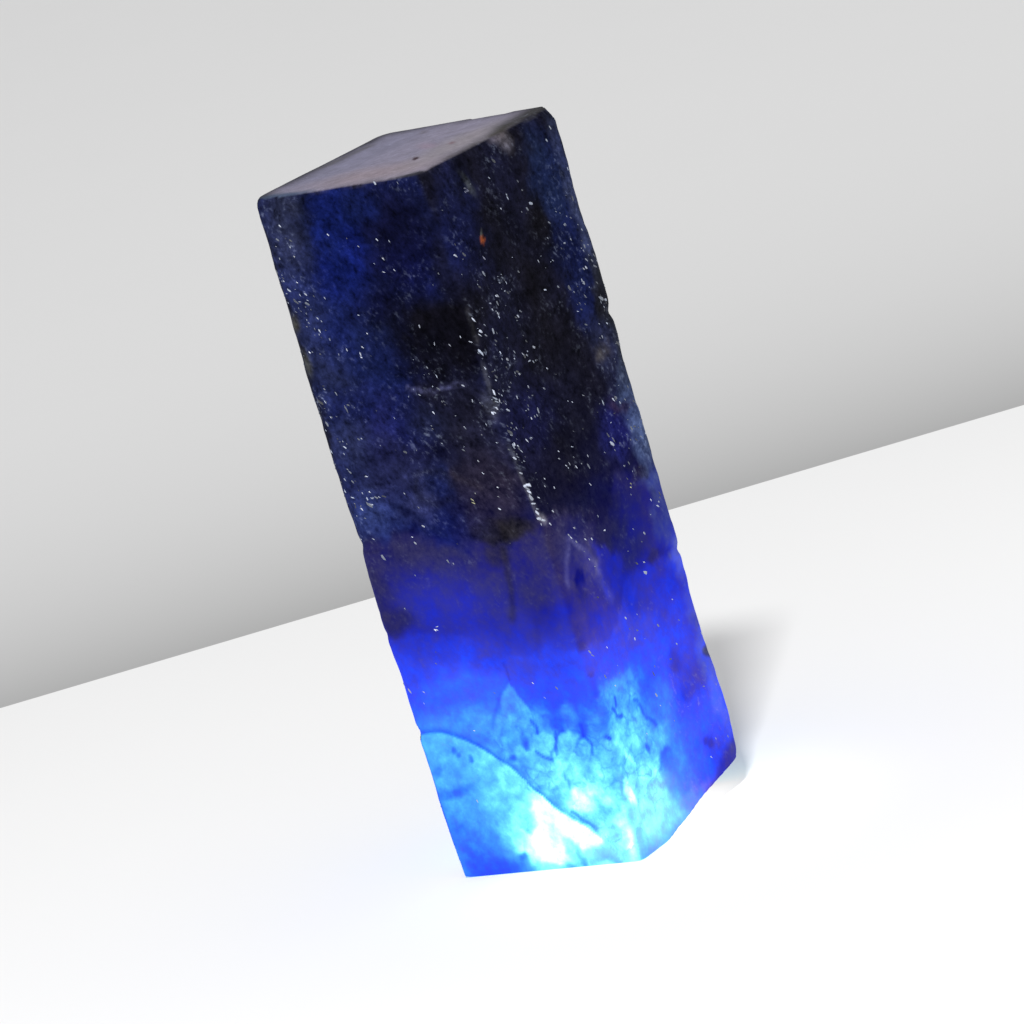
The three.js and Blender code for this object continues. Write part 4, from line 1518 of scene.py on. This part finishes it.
@dataclass(frozen=True)
class SapphireFinish:
    """Sapphire with a painted glow, given out as emission, for light that soaks through: of each colour,
    exp(-drink * depth) is left.

    A field named for depths holds the depth at which a zone begins to end, and the one at which it has ended.
    """

    # What each pattern adds to the soak depth: in the crazed foot, below the dark, and as streaks there.
    CRAZED: ClassVar[dict[str, float]] = {"seam": 0.8, "cell": 1.5, "mottle": 2.0}
    CLOUDED: ClassVar[dict[str, float]] = {"fine": 1.5, "mottle": 3.0}
    STREAKED: ClassVar[dict[str, float]] = {"streak": 2.4, "mottle": 2.0, "pits": 0.4}
    # What each adds to the shade of the stone's own colour.
    UNEVEN: ClassVar[dict[str, float]] = {"fine": 1.5, "mottle": 2.2, "streak": 1.4}

    # How bright each colour of the painted glow is with no stone in the way; the lamp under the stone is not
    # in the scene.
    lamp: Triple = (7.4, 12.0, 16.7)
    drink: Triple = (0.5, 0.345, 0.175)
    streak_way: Triple = (0.55, 0.55, -0.63)
    streak_stretch: float = 3.0
    near_depths: Pair = (9.0, 17.0)
    middle_depths: Pair = (24.0, 36.0)
    lit_depths: Pair = (22.0, 40.0)
    calm_near: float = 0.85
    calm_top: float = 0.75
    calm_lit: float = 0.7
    darkest: float = 0.25
    dust_tint: Triple = (0.06, 0.07, 0.09)
    roughness: float = 0.5
    specular: float = 0.008
    cell_size: float = 1.15
    seam_width: float = 0.16
    bump: float = 0.25
    bump_height: float = 0.05

    @staticmethod
    def _mixed(maps: dict[str, Wire], weights: dict[str, float]) -> Wire:
        """The sum of the named patterns, each times its weight."""
        return reduce(add, (maps[name] * weight for name, weight in weights.items()))

    def _patterns(self, bench: NodeBench) -> dict[str, Wire]:
        """The patterns that every colour shares: mottling, streaks, pits, and cells with their seams.

        Args:
            bench: Where the nodes go.

        Returns:
            The patterns by name.
        """
        place = bench.place()
        streaked = bench.stretched(place, self.streak_way, self.streak_stretch)
        warped = bench.warped(place, size=0.9, amount=0.55)
        edge = bench.cells(warped, self.cell_size, "DISTANCE_TO_EDGE").out("Distance")
        shade = bench.cells(warped, self.cell_size, "F1").out("Color")
        cell = bench.add("ShaderNodeSeparateColor", {}, {0: shade}).out(0) - 0.5
        patchy = bench.noise(place, size=2.2, detail=2.0, roughness=0.55).eased(-0.08, 0.12)
        fine = bench.noise(place, size=0.26, detail=3.0)
        mottle = bench.noise(place, size=0.9, detail=4.0)
        return {
            "fine": fine,
            "mottle": mottle,
            "streak": bench.noise(streaked, size=0.34, detail=2.0),
            "patchy": patchy,
            "cell": cell * patchy,
            "seam": (1.0 - edge.eased(0.0, self.seam_width)) * patchy,
            "pits": (fine + mottle * 0.5).eased(0.1, 0.22) * patchy,
        }

    def _painted_glow(self, bench: NodeBench, maps: dict[str, Wire]) -> Wire:
        """The painted glow, given out as emission: for each colour lamp * exp(-drink * depth), never more
        than 1.

        Args:
            bench: Where the nodes go.
            maps: The patterns by name.

        Returns:
            The painted glow's colour.
        """
        depth = bench.attribute("soak_depth").out("Fac")
        near = 1.0 - depth.eased(*self.near_depths)
        middle = 1.0 - depth.eased(*self.middle_depths)
        depth = depth + near * bench.attribute("crackle").out("Fac") * self._mixed(maps, self.CRAZED)
        depth = depth + middle * self._mixed(maps, self.CLOUDED)
        depth = depth + middle * (1.0 - near * self.calm_near) * self._mixed(maps, self.STREAKED)
        glow = {
            axis: ((depth * -drink).exp() * lamp).at_most(1.0)
            for axis, (lamp, drink) in enumerate(zip(self.lamp, self.drink))
        }
        return bench.add("ShaderNodeCombineColor", {}, glow).out(0)

    def _body(self, bench: NodeBench, maps: dict[str, Wire]) -> Wire:
        """The stone's own colour, mottled, with pale dust lying on it in short streaks.

        Args:
            bench: Where the nodes go.
            maps: The patterns by name.

        Returns:
            The colour.
        """
        lit = 1.0 - bench.attribute("soak_depth").out("Fac").eased(*self.lit_depths)
        plain = (1.0 - bench.attribute("sawn").out("Fac") * self.calm_top) * (1.0 - lit * self.calm_lit)
        shade = (1.0 + self._mixed(maps, self.UNEVEN) * plain).at_least(self.darkest)
        body = bench.vector("SCALE", bench.attribute("body_colour").out("Color"), Scale=shade)
        dust = bench.attribute("dust").out("Fac")
        specks = (maps["streak"] + maps["fine"] * 0.5).eased(0.04, 0.3) * maps["patchy"] * dust
        return bench.vector("ADD", body, bench.vector("SCALE", self.dust_tint, Scale=specks))

    def material(self) -> bpy.types.Material:
        """The stone's material: body colour and dust, a painted glow for the light that has soaked through,
        and frost.

        Returns:
            The material.
        """
        bench = NodeBench("sapphire")
        maps = self._patterns(bench)
        frost = maps["fine"] + maps["streak"]
        bump = {"Strength": self.bump, "Distance": self.bump_height * MM, "Height": frost}
        shader = bench.add("ShaderNodeBsdfPrincipled", {}, {
            "Base Color": self._body(bench, maps),
            "Roughness": self.roughness + maps["mottle"] * 0.3,
            "Specular IOR Level": self.specular,
            # Painted glow: emission standing in for lamp light that has come up through the stone.
            "Emission Color": self._painted_glow(bench, maps),
            "Emission Strength": 1.0,
            "Normal": bench.add("ShaderNodeBump", {}, bump).out(0),
        })
        return bench.finish(shader)


@dataclass(frozen=True)
class GrainAndGlintFinish:
    """Small bright crystals bedded in the skin, each of its own paleness: partly real pale grains, partly
    painted glints.
    """

    roughness: float = 0.3

    def material(self) -> bpy.types.Material:
        """The grains' material, with its colour read from the mesh.

        Returns:
            The material.
        """
        bench = NodeBench("grain_and_painted_glint")
        inputs = {"Base Color": bench.attribute("grain_and_glint_colour").out("Color"), "Roughness": self.roughness}
        return bench.finish(bench.add("ShaderNodeBsdfPrincipled", {}, inputs))


@dataclass(frozen=True)
class PaperFinish:
    """Matt paper of one grey, faintly mottled, perhaps with a painted glow as if a hidden lamp lit it, or
    with painted shade at an edge.

    Each dip of painted shade, a depth and a fade, takes depth * exp(-past / fade) off the shade, where past
    is how much further than `edge` a place lies from the far point. The painted glow, given out as emission,
    is exp(-(away / glow_reach)^2).
    """

    name: str
    shade: float
    painted_shade_dips: Route = ()
    far_point: Triple = (0.0, 0.0, 0.0)
    edge: float = 0.0
    glow: float = 0.0
    glow_at: Triple = (0.006, -0.002, 0.0)
    glow_reach: float = 0.011
    mottle: float = 0.01
    mottle_size: float = 40.0
    roughness: float = 0.9
    specular: float = 0.1

    def material(self) -> bpy.types.Material:
        """Makes the paper's material.

        Returns:
            The material.
        """
        bench = NodeBench(self.name)
        place = bench.place()
        mottle = bench.noise(place, self.mottle_size, detail=2.0, roughness=0.55)
        grey = self.shade + mottle * self.mottle
        # Painted shade: the sheet gets darker towards its near edge.
        if self.painted_shade_dips:
            past = bench.measured("DISTANCE", place, self.far_point) - self.edge
            for dip, fade in self.painted_shade_dips:
                grey = grey - (past * (-1.0 / fade)).exp() * dip
        inputs = {"Base Color": bench.grey(grey), "Roughness": self.roughness}
        inputs["Specular IOR Level"] = self.specular
        # Painted glow: an emission pool of light round glow_at, painted on the paper.
        if self.glow:
            away = bench.measured("DISTANCE", place, self.glow_at) * (1.0 / self.glow_reach)
            inputs["Emission Color"] = bench.grey((away * away * -1.0).exp())
            inputs["Emission Strength"] = self.glow
        return bench.finish(bench.add("ShaderNodeBsdfPrincipled", {}, inputs))


def put_mesh(
    name: str, points: Array, faces: list[list[int]], material: bpy.types.Material
) -> bpy.types.Object:
    """Makes an object at the origin from points in metres.

    Args:
        name: The piece's name.
        points: One row of x, y and z for each point.
        faces: The points of each face, in order seen from outside.
        material: What it is made of.

    Returns:
        The object, in the scene.
    """
    mesh = bpy.data.meshes.new(name)
    mesh.from_pydata(points.tolist(), [], faces)
    mesh.materials.append(material)
    mesh.update()
    piece = bpy.data.objects.new(name, mesh)
    bpy.context.scene.collection.objects.link(piece)
    return piece


def put_attribute(piece: bpy.types.Object, name: str, values: Array) -> None:
    """Puts a number, or red, green and blue, on every point of a piece.

    Args:
        piece: The piece.
        name: What its material reads the values by.
        values: One number or one row of three for each point.
    """
    if values.ndim == 1:
        attribute = piece.data.attributes.new(name, "FLOAT", "POINT")
        attribute.data.foreach_set("value", values.astype(np.float32))
    else:
        attribute = piece.data.attributes.new(name, "FLOAT_COLOR", "POINT")
        colour = np.concatenate([values, np.ones((len(values), 1))], axis=1)
        attribute.data.foreach_set("color", colour.astype(np.float32).ravel())


@dataclass
class SapphireCrystal:
    """The stone itself: its skin as one closed mesh, with the soak depth and body colour at every point."""

    shape: StoneShape = field(default_factory=StoneShape)
    finish: SapphireFinish = SapphireFinish()
    sawn: Pair = (0.55, 0.85)
    rim: Pair = (0.2, 0.6)
    underside: Pair = (-0.75, -0.9)
    grain_depths: Pair = (9.0, 16.0)
    top_depth: float = 60.0
    # The underside's depth is small, so it is painted glowing near white; that glow lights the floor round
    # the foot.
    painted_underside_glow_depth: float = 3.2

    def looks(self) -> tuple[FaceLook, ...]:
        """The look of each of the four faces."""
        return FrontLook(), RightLook(), BackLook(), LeftLook()

    def _faces(self, rows: int, columns: int) -> list[list[int]]:
        """Quads between neighbouring rows, and a fan round each pole, all facing out.

        Args:
            rows: How many rows the skin has.
            columns: How many columns.

        Returns:
            Each face's points.
        """
        index = np.arange(rows * columns).reshape(rows, columns)
        beside = np.roll(index, -1, axis=1)
        quads = np.stack([index[:-1], beside[:-1], beside[1:], index[1:]], -1).reshape(-1, 4)
        base_pole, top_pole = rows * columns, rows * columns + 1
        base = np.stack([np.full(columns, base_pole), beside[0], index[0]], -1)
        top = np.stack([index[-1], beside[-1], np.full(columns, top_pole)], -1)
        return quads.tolist() + base.tolist() + top.tolist()

    def _paint(self, skin: Skin) -> dict[str, Array]:
        """What every point of the skin looks like: the faces' looks, blended, then the top's and the base's.

        Args:
            skin: The stone's skin.

        Returns:
            Under the name that the material reads it by, each value over the skin.
        """
        depth, dust, crackle = np.zeros((3, *skin.points.shape[:-1]))
        body = np.zeros(skin.points.shape)
        for look in self.looks():
            share = skin.share_of(look.side)
            columns = share[0] > 0
            share = share[:, columns]
            places = Places.of(skin.points[:, columns], look.side)
            depth[:, columns] += share * look.depth(places)
            dust[:, columns] += share * look.dust(places)
            crackle[:, columns] += share * look.crackle(places)
            body[:, columns] += share[..., None] * look.colour(places)
        facing_up = skin.normals[..., 2]
        sawn = smooth(*self.sawn, facing_up)
        body = body + (TopLook().colour(skin.points) - body) * sawn[..., None]
        depth = depth + (self.top_depth - depth) * smooth(*self.rim, facing_up)
        # Painted glow on the underside, near white, which lights the floor round the foot.
        depth = depth + (self.painted_underside_glow_depth - depth) * smooth(*self.underside, facing_up)
        return {"soak_depth": depth, "body_colour": body, "dust": dust, "crackle": crackle, "sawn": sawn}

    def build(self) -> tuple[bpy.types.Object, Skin, Array]:
        """Builds and dresses the stone.

        Returns:
            The stone's object, its skin, and how thickly grains lie in it: as dust does, where it is dark.
        """
        skin = self.shape.build(CAD_BOX)
        rows, columns = skin.points.shape[:2]
        poles = np.stack([skin.points[0].mean(axis=0), skin.points[-1].mean(axis=0)])
        points = np.concatenate([skin.points.reshape(-1, 3), poles])
        stone = put_mesh("sapphire_stone", points * MM, self._faces(rows, columns), self.finish.material())
        stone.data.shade_smooth()
        paint = self._paint(skin)
        for name, values in paint.items():
            ends = np.stack([values[0].mean(axis=0), values[-1].mean(axis=0)])
            put_attribute(stone, name, np.concatenate([values.reshape(-1, *ends.shape[1:]), ends]))
        return stone, skin, paint["dust"] * smooth(*self.grain_depths, paint["soak_depth"])


@dataclass(frozen=True)
class Mark:
    """A bright mark on a face, partly a real pale grain and partly a painted glint, which one grain makes or
    a few close together: where, how long, how pale.
    """

    side: Side
    at: Pair
    long: float
    shade: Colour = (196, 204, 222)


@dataclass
class PaleGrainsAndGlints:
    """The pale grains in the skin, partly real grains and partly painted glints: small flat crystals, most of
    them scattered, some at known marks.

    A grain's angles are in degrees, its sizes in millimetres, and its shades run from 0 to 1.
    """

    SEED: ClassVar[int] = 7
    CORNERS: ClassVar[int] = 6
    OFF_FACE: ClassVar[float] = 9.0

    scattered: int = 760
    least_weight: float = 0.02
    usual_size: float = 0.28
    size_spread: float = 0.42
    sizes: Pair = (0.12, 0.65)
    tint: Triple = (0.5, 0.57, 0.72)
    paleness: Pair = (1.2, 2.6)
    shades: Pair = (0.06, 0.9)
    cluster_grain: float = 0.42
    cluster_spread: float = 0.22
    mark_sizes: Pair = (0.8, 1.2)
    mark_shades: Pair = (0.35, 1.0)
    lean: float = -50.0
    lean_spread: float = 18.0
    uneven: Pair = (0.65, 1.15)
    slimness: Pair = (1.9, 3.6)
    thick: float = 0.05
    sink: float = 0.2
    # The marks big enough to be known one by one on two faces: how far across, how high, and how long.
    front_marks: tuple[Triple, ...] = (
        (-2.8, 18.35, 0.9), (0.4, 22.85, 0.35), (-2.4, 24.6, 0.4), (-2.4, 25.2, 0.3), (-1.2, 25.8, 0.4),
        (5.5, 26.3, 0.35), (6, 27.9, 0.35), (-6, 27.6, 0.4), (5, 28.9, 0.35), (4.9, 29.9, 0.35),
        (-4.8, 29.7, 0.35), (4, 13.8, 0.3), (-2.1, 10.8, 0.3), (-6.6, 14.2, 0.5), (-5.4, 14, 0.3),
        (-5.7, 13.2, 0.25), (-2, 38.5, 0.6), (-2.2, 38.1, 0.35), (5.5, 35.2, 0.4), (7.5, 33.3, 0.6),
        (2.5, 33.5, 0.3), (6, 34, 0.3), (2.1, 46.1, 0.35), (0.4, 45.7, 0.35), (2.1, 44.6, 0.35),
        (2.8, 43.8, 0.35), (1.8, 43.7, 0.3), (3.3, 49.8, 0.4), (-5.7, 47.9, 0.35), (-5.3, 43, 0.4),
        (-5, 40.4, 0.4), (-6.4, 39, 0.35), (3.4, 39.6, 0.35), (4.2, 38.3, 0.35), (5.5, 38, 0.3),
        (7.2, 38.1, 0.35), (6.5, 38.6, 0.3), (-1.1, 39.8, 0.3), (-3.2, 38.7, 0.3), (-1.9, 46.9, 0.3),
    )
    right_marks: tuple[Triple, ...] = (
        (-5.5, 24.9, 0.45), (-0.7, 25.2, 0.5), (-2.6, 27, 0.6), (-3.2, 27.95, 0.4), (-3, 28.4, 0.4),
        (-0.6, 21.8, 0.4), (-2.3, 21.8, 0.35), (-3, 21.95, 0.3), (-3.8, 23.1, 0.4), (5.4, 22, 0.35),
        (3.6, 20.2, 0.5), (2.7, 18.2, 0.3), (4.6, 29.6, 0.4), (-1.6, 26.9, 0.4), (-1, 26.8, 0.3),
        (0, 27.1, 0.35), (-1.1, 15.6, 0.4), (-6, 15, 0.4), (-4, 14.6, 0.3), (-0.7, 13.9, 0.4),
        (3.7, 11.9, 0.35), (3.9, 3.4, 0.4), (0.9, 7.2, 0.3), (-2.5, 7.6, 0.25), (-0.1, 8.8, 0.25),
        (-4.4, 11.9, 0.3), (4.6, 14.8, 0.3), (-7.6, 27, 0.9), (-7.1, 27.4, 0.6), (-7.7, 26, 0.5),
        (-7.4, 25.5, 0.55), (-6.8, 24.7, 0.9), (-7.8, 24.5, 0.35), (-7.9, 28.5, 0.55), (-6.6, 26.3, 0.4),
        (-7.7, 27.5, 0.55), (-7.5, 26.6, 0.55), (-7.1, 25.1, 0.55), (-8, 29.6, 0.5), (-6.2, 24.2, 0.4),
        (-5.4, 27.2, 0.35), (-5.6, 26.9, 0.3), (-4.6, 26.4, 0.35), (-4.4, 22.6, 0.35), (-4.7, 40.2, 0.6),
        (-5.1, 39, 0.5), (-5.6, 39.5, 0.4), (-3.1, 38.1, 0.4), (-5.6, 35.9, 0.5), (-3.8, 35.8, 0.5),
        (-2.4, 35.8, 0.5), (-4.8, 34.6, 0.45), (-1.7, 34, 0.35), (-6, 30.3, 0.4), (-7.4, 30.5, 0.4),
        (5.3, 33.8, 0.4), (6.3, 48.8, 0.45), (-1.6, 45.3, 0.4), (1.4, 30.9, 0.35), (0, 31, 0.3),
        (-4.9, 31.5, 0.4), (-4.2, 33.6, 0.35), (5.7, 38.8, 0.6), (0.8, 40.8, 0.35), (-8, 33.4, 0.7),
        (-7.7, 38.4, 0.7), (-8.1, 34.3, 0.5), (-8, 39.5, 0.5), (-7.8, 44.1, 0.5), (-8.1, 36.2, 0.4),
        (-4.6, 22.9, 0.3), (-4, 22.2, 0.3), (-3.5, 21.4, 0.25), (-3.1, 20.7, 0.3), (-2.8, 19.9, 0.25),
    )

    def marks(self) -> tuple[Mark, ...]:
        """The marks big enough to be known one by one: the plain ones, and four of a shade of their own.

        Returns:
            The marks.
        """
        front, right = Side.FRONT, Side.RIGHT
        dim, warm = (120, 124, 146), (190, 190, 150)
        return (
            *(Mark(front, (across, up), size) for across, up, size in self.front_marks),
            *(Mark(right, (across, up), size) for across, up, size in self.right_marks),
            Mark(front, (3.7, 27.3), 0.75, warm),
            Mark(right, (3.4, 23.6), 0.6, warm),
            Mark(right, (-4.4, 47.9), 1.1, dim),
            Mark(right, (-4.9, 42.9), 0.5, dim),
        )

    def _seats(self, skin: Skin, dust: Array) -> tuple[Array, Array, Array, Array]:
        """Where every grain sits: scattered grains fall where dust is thick, the others round their marks.

        Args:
            skin: The stone's skin.
            dust: How thickly dust lies at each point of the skin.

        Returns:
            The row and column in the skin of each grain, its length, and its colour in linear light.
        """
        draw = np.random.default_rng(self.SEED)
        points = skin.points
        across = np.linalg.norm(np.roll(points, -1, axis=1) - points, axis=-1)
        upward = np.linalg.norm(np.gradient(points, axis=0), axis=-1)
        thick = self.least_weight * (dust > 0) + dust**2
        weight = across * upward * thick * (np.abs(skin.normals[..., 2]) < 0.5)
        chance = (weight / weight.sum()).ravel()
        seats = [draw.choice(weight.size, self.scattered, replace=False, p=chance)]
        drawn = draw.lognormal(np.log(self.usual_size), self.size_spread, self.scattered)
        sizes = [np.clip(drawn, *self.sizes)]
        pale = np.clip(draw.beta(*self.paleness, self.scattered), *self.shades)[:, None]
        shades = [pale * np.array(self.tint)]
        for mark in self.marks():
            count = max(1, round((mark.long / 0.45) ** 1.5))
            spread = draw.normal(0.0, self.cluster_spread * mark.long * (count > 1), (count, 2))
            seats.append([self._nearest(skin, mark, shift) for shift in spread])
            size = mark.long if count == 1 else self.cluster_grain
            sizes.append(size * draw.uniform(*self.mark_sizes, count))
            shades.append(draw.uniform(*self.mark_shades, (count, 1)) * tint(*mark.shade))
        row, column = np.unravel_index(np.concatenate(seats).astype(int), weight.shape)
        return row, column, np.concatenate(sizes), np.concatenate(shades)

    def _nearest(self, skin: Skin, mark: Mark, shift: Array) -> int:
        """The number of the skin's point nearest to a shifted mark, on the mark's own face.

        Args:
            skin: The stone's skin.
            mark: The mark.
            shift: How far it is shifted, across and up.

        Returns:
            The point's number, counted along the rows.
        """
        across, up = mark.side.spread(skin.points)
        away = np.hypot(across - mark.at[0] - shift[0], up - mark.at[1] - shift[1])
        return int(np.argmin(away + self.OFF_FACE * (skin.share_of(mark.side) < 0.4)))

    def build(self, skin: Skin, dust: Array) -> bpy.types.Object:
        """Builds all grains as one mesh: each corner is the grain's middle plus a push along its own axes.

        A grain is a ring of six uneven corners, with one point above it and one below.

        Args:
            skin: The stone's skin.
            dust: How thickly dust lies at each point of the skin.

        Returns:
            The grains' object.
        """
        row, column, sizes, shades = self._seats(skin, dust)
        count = len(sizes)
        draw = np.random.default_rng(self.SEED + 1)
        centre, out = skin.points[row, column], skin.normals[row, column]
        level = np.cross([0.0, 0.0, 1.0], out)
        level = level / np.linalg.norm(level, axis=-1, keepdims=True)
        rise = np.cross(out, level)
        lean = np.radians(self.lean + draw.normal(0.0, self.lean_spread, count))[:, None]
        along = (np.cos(lean) * level + np.sin(lean) * rise)[:, None, :]
        beside = np.cross(out[:, None, :], along)
        turn = np.arange(self.CORNERS) / self.CORNERS * 2 * np.pi
        uneven = draw.uniform(*self.uneven, (count, self.CORNERS))
        half_long = sizes[:, None] / 2 * uneven * np.cos(turn)
        half_wide = sizes[:, None] / 2 / draw.uniform(*self.slimness, (count, 1)) * uneven * np.sin(turn)
        thick = np.minimum(self.thick, sizes * 0.3)[:, None]
        middle = centre - out * thick * self.sink
        ring = middle[:, None, :] + along * half_long[..., None] + beside * half_wide[..., None]
        tips = np.stack([middle + out * thick, middle - out * thick], axis=1)
        corners = np.concatenate([ring, tips], axis=1)
        first = np.arange(self.CORNERS)
        second = (first + 1) % self.CORNERS
        above = np.stack([first, second, np.full(self.CORNERS, self.CORNERS)], -1)
        below = np.stack([second, first, np.full(self.CORNERS, self.CORNERS + 1)], -1)
        faces = np.concatenate([above, below])[None] + corners.shape[1] * np.arange(count)[:, None, None]
        points, faces = corners.reshape(-1, 3) * MM, faces.reshape(-1, 3).tolist()
        # Pale flecks: partly real grains, partly painted glints of light on tiny facets.
        grains = put_mesh("grains_and_painted_glints", points, faces, GrainAndGlintFinish().material())
        put_attribute(grains, "grain_and_glint_colour", np.repeat(shades, corners.shape[1], axis=0))
        return grains


@dataclass
class Studio:
    """A white sheet under the stone, a grey sheet beyond it, a small soft lamp, and the camera, in metres."""

    TARGET: ClassVar[Triple] = (0.0, 0.0, 0.025)

    azimuth: float = 38.276
    elevation: float = 12.023
    distance: float = 0.42345
    roll: float = 16.5
    lens: float = 215.3
    sensor: float = 36.0
    clip: Pair = (0.01, 20.0)
    aim_down: float = 0.00122
    aim_left: float = -0.00003
    floor_reach: float = 0.0928
    half_width: float = 1.5
    lamp_heading: float = 33.0
    lamp_slope: float = 50.5
    lamp_distance: float = 0.55
    lamp_size: float = 0.055
    lamp_power: float = 2.62
    surround: float = 0.7

    def _axes(self) -> tuple[Vector, Vector, Vector]:
        """Finds the ways back to the camera, to its right and up, before it is rolled.

        Returns:
            The three ways, each of length 1.
        """
        azimuth, elevation = np.radians(self.azimuth), np.radians(self.elevation)
        level = np.cos(elevation)
        back = Vector((np.sin(azimuth) * level, -np.cos(azimuth) * level, np.sin(elevation)))
        right = Vector((0, 0, 1)).cross(back).normalized()
        return back, right, back.cross(right)

    def place_camera(self) -> None:
        """Makes the camera, aimed a little below the stone's middle and rolled clockwise."""
        back, right, up = self._axes()
        data = bpy.data.cameras.new("camera")
        data.lens = self.lens
        data.sensor_width = self.sensor
        data.clip_start, data.clip_end = self.clip
        camera = bpy.data.objects.new("camera", data)
        place = Vector(self.TARGET) + back * self.distance
        aim = Vector(self.TARGET) - up * self.aim_down - right * self.aim_left
        back = (place - aim).normalized()
        right = up.cross(back).normalized()
        up = back.cross(right)
        turn = np.radians(self.roll)
        side = right * np.cos(turn) - up * np.sin(turn)
        rise = up * np.cos(turn) + right * np.sin(turn)
        camera.matrix_world = Matrix.Translation(place) @ Matrix((side, rise, back)).transposed().to_4x4()
        bpy.context.scene.collection.objects.link(camera)
        bpy.context.scene.camera = camera

    def build_backdrop(self) -> bpy.types.Object:
        """The white sheet and, beyond a straight edge behind the stone, the grey one, both level.

        Returns:
            The backdrop.
        """
        back, right, _ = self._axes()
        away = -Vector((back.x, back.y, 0.0)).normalized()
        reach = np.array([-self.half_width, self.floor_reach, self.half_width])
        sides = np.array([-self.half_width, self.half_width])
        points = reach[:, None, None] * np.array(away) + sides[None, :, None] * np.array(right)
        index = np.arange(2 * len(reach)).reshape(-1, 2)
        faces = np.stack([index[:-1, 0], index[:-1, 1], index[1:, 1], index[1:, 0]], -1)
        # The white sheet's glow is a painted pool of light round the stone's foot, given out as emission.
        white = PaperFinish("white_sheet", shade=0.745, glow=0.5)
        # The grey sheet's dips are painted shade, darker towards its near edge.
        grey = PaperFinish(
            "grey_sheet", shade=0.86, painted_shade_dips=((0.206, 0.04), (0.29, 0.2)),
            far_point=tuple(away * -self.half_width), edge=self.half_width + self.floor_reach,
        )
        sheet = put_mesh("backdrop", points.reshape(-1, 3), faces.tolist(), white.material())
        sheet.data.materials.append(grey.material())
        sheet.data.polygons.foreach_set("material_index", [0, 1])
        return sheet

    def _hang_lamp(self) -> None:
        """Adds a square soft lamp, which looks at the stone from its heading and slope, in degrees."""
        data = bpy.data.lights.new("key_light", "AREA")
        data.shape = "SQUARE"
        data.size = self.lamp_size
        data.energy = self.lamp_power
        lamp = bpy.data.objects.new("key_light", data)
        turn, rise = np.radians(self.lamp_heading), np.radians(self.lamp_slope)
        way = Vector((np.sin(turn) * np.cos(rise), -np.cos(turn) * np.cos(rise), np.sin(rise)))
        lamp.location = Vector(self.TARGET) + way * self.lamp_distance
        lamp.rotation_euler = way.to_track_quat("Z", "Y").to_euler()
        bpy.context.scene.collection.objects.link(lamp)

    def light(self) -> None:
        """The lamp, to the left of the camera and above it, and an even pale surround."""
        scene = bpy.context.scene
        scene.view_settings.view_transform = "Standard"
        scene.world = bpy.data.worlds.new("surround")
        scene.world.use_nodes = True
        background = scene.world.node_tree.nodes["Background"].inputs
        background["Color"].default_value = (1.0, 1.0, 1.0, 1.0)
        background["Strength"].default_value = self.surround
        self._hang_lamp()


def main() -> None:
    """Builds the stone, its grains and the studio, and writes how big the result is."""
    logging.basicConfig(level=logging.INFO, format="%(name)s: %(message)s")
    stone, skin, dust = SapphireCrystal().build()
    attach(stone, BODY)
    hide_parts(NODE)
    log.info("stone: %d faces", len(stone.data.polygons))
    grains = PaleGrainsAndGlints().build(skin, dust)
    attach(grains, BODY)
    log.info("grains: %d faces", len(grains.data.polygons))
    studio = Studio()
    studio.build_backdrop()
    studio.light()
    studio.place_camera()
    log.info("studio: backdrop, lamp, surround, camera")


if __name__ == "__main__":
    main()
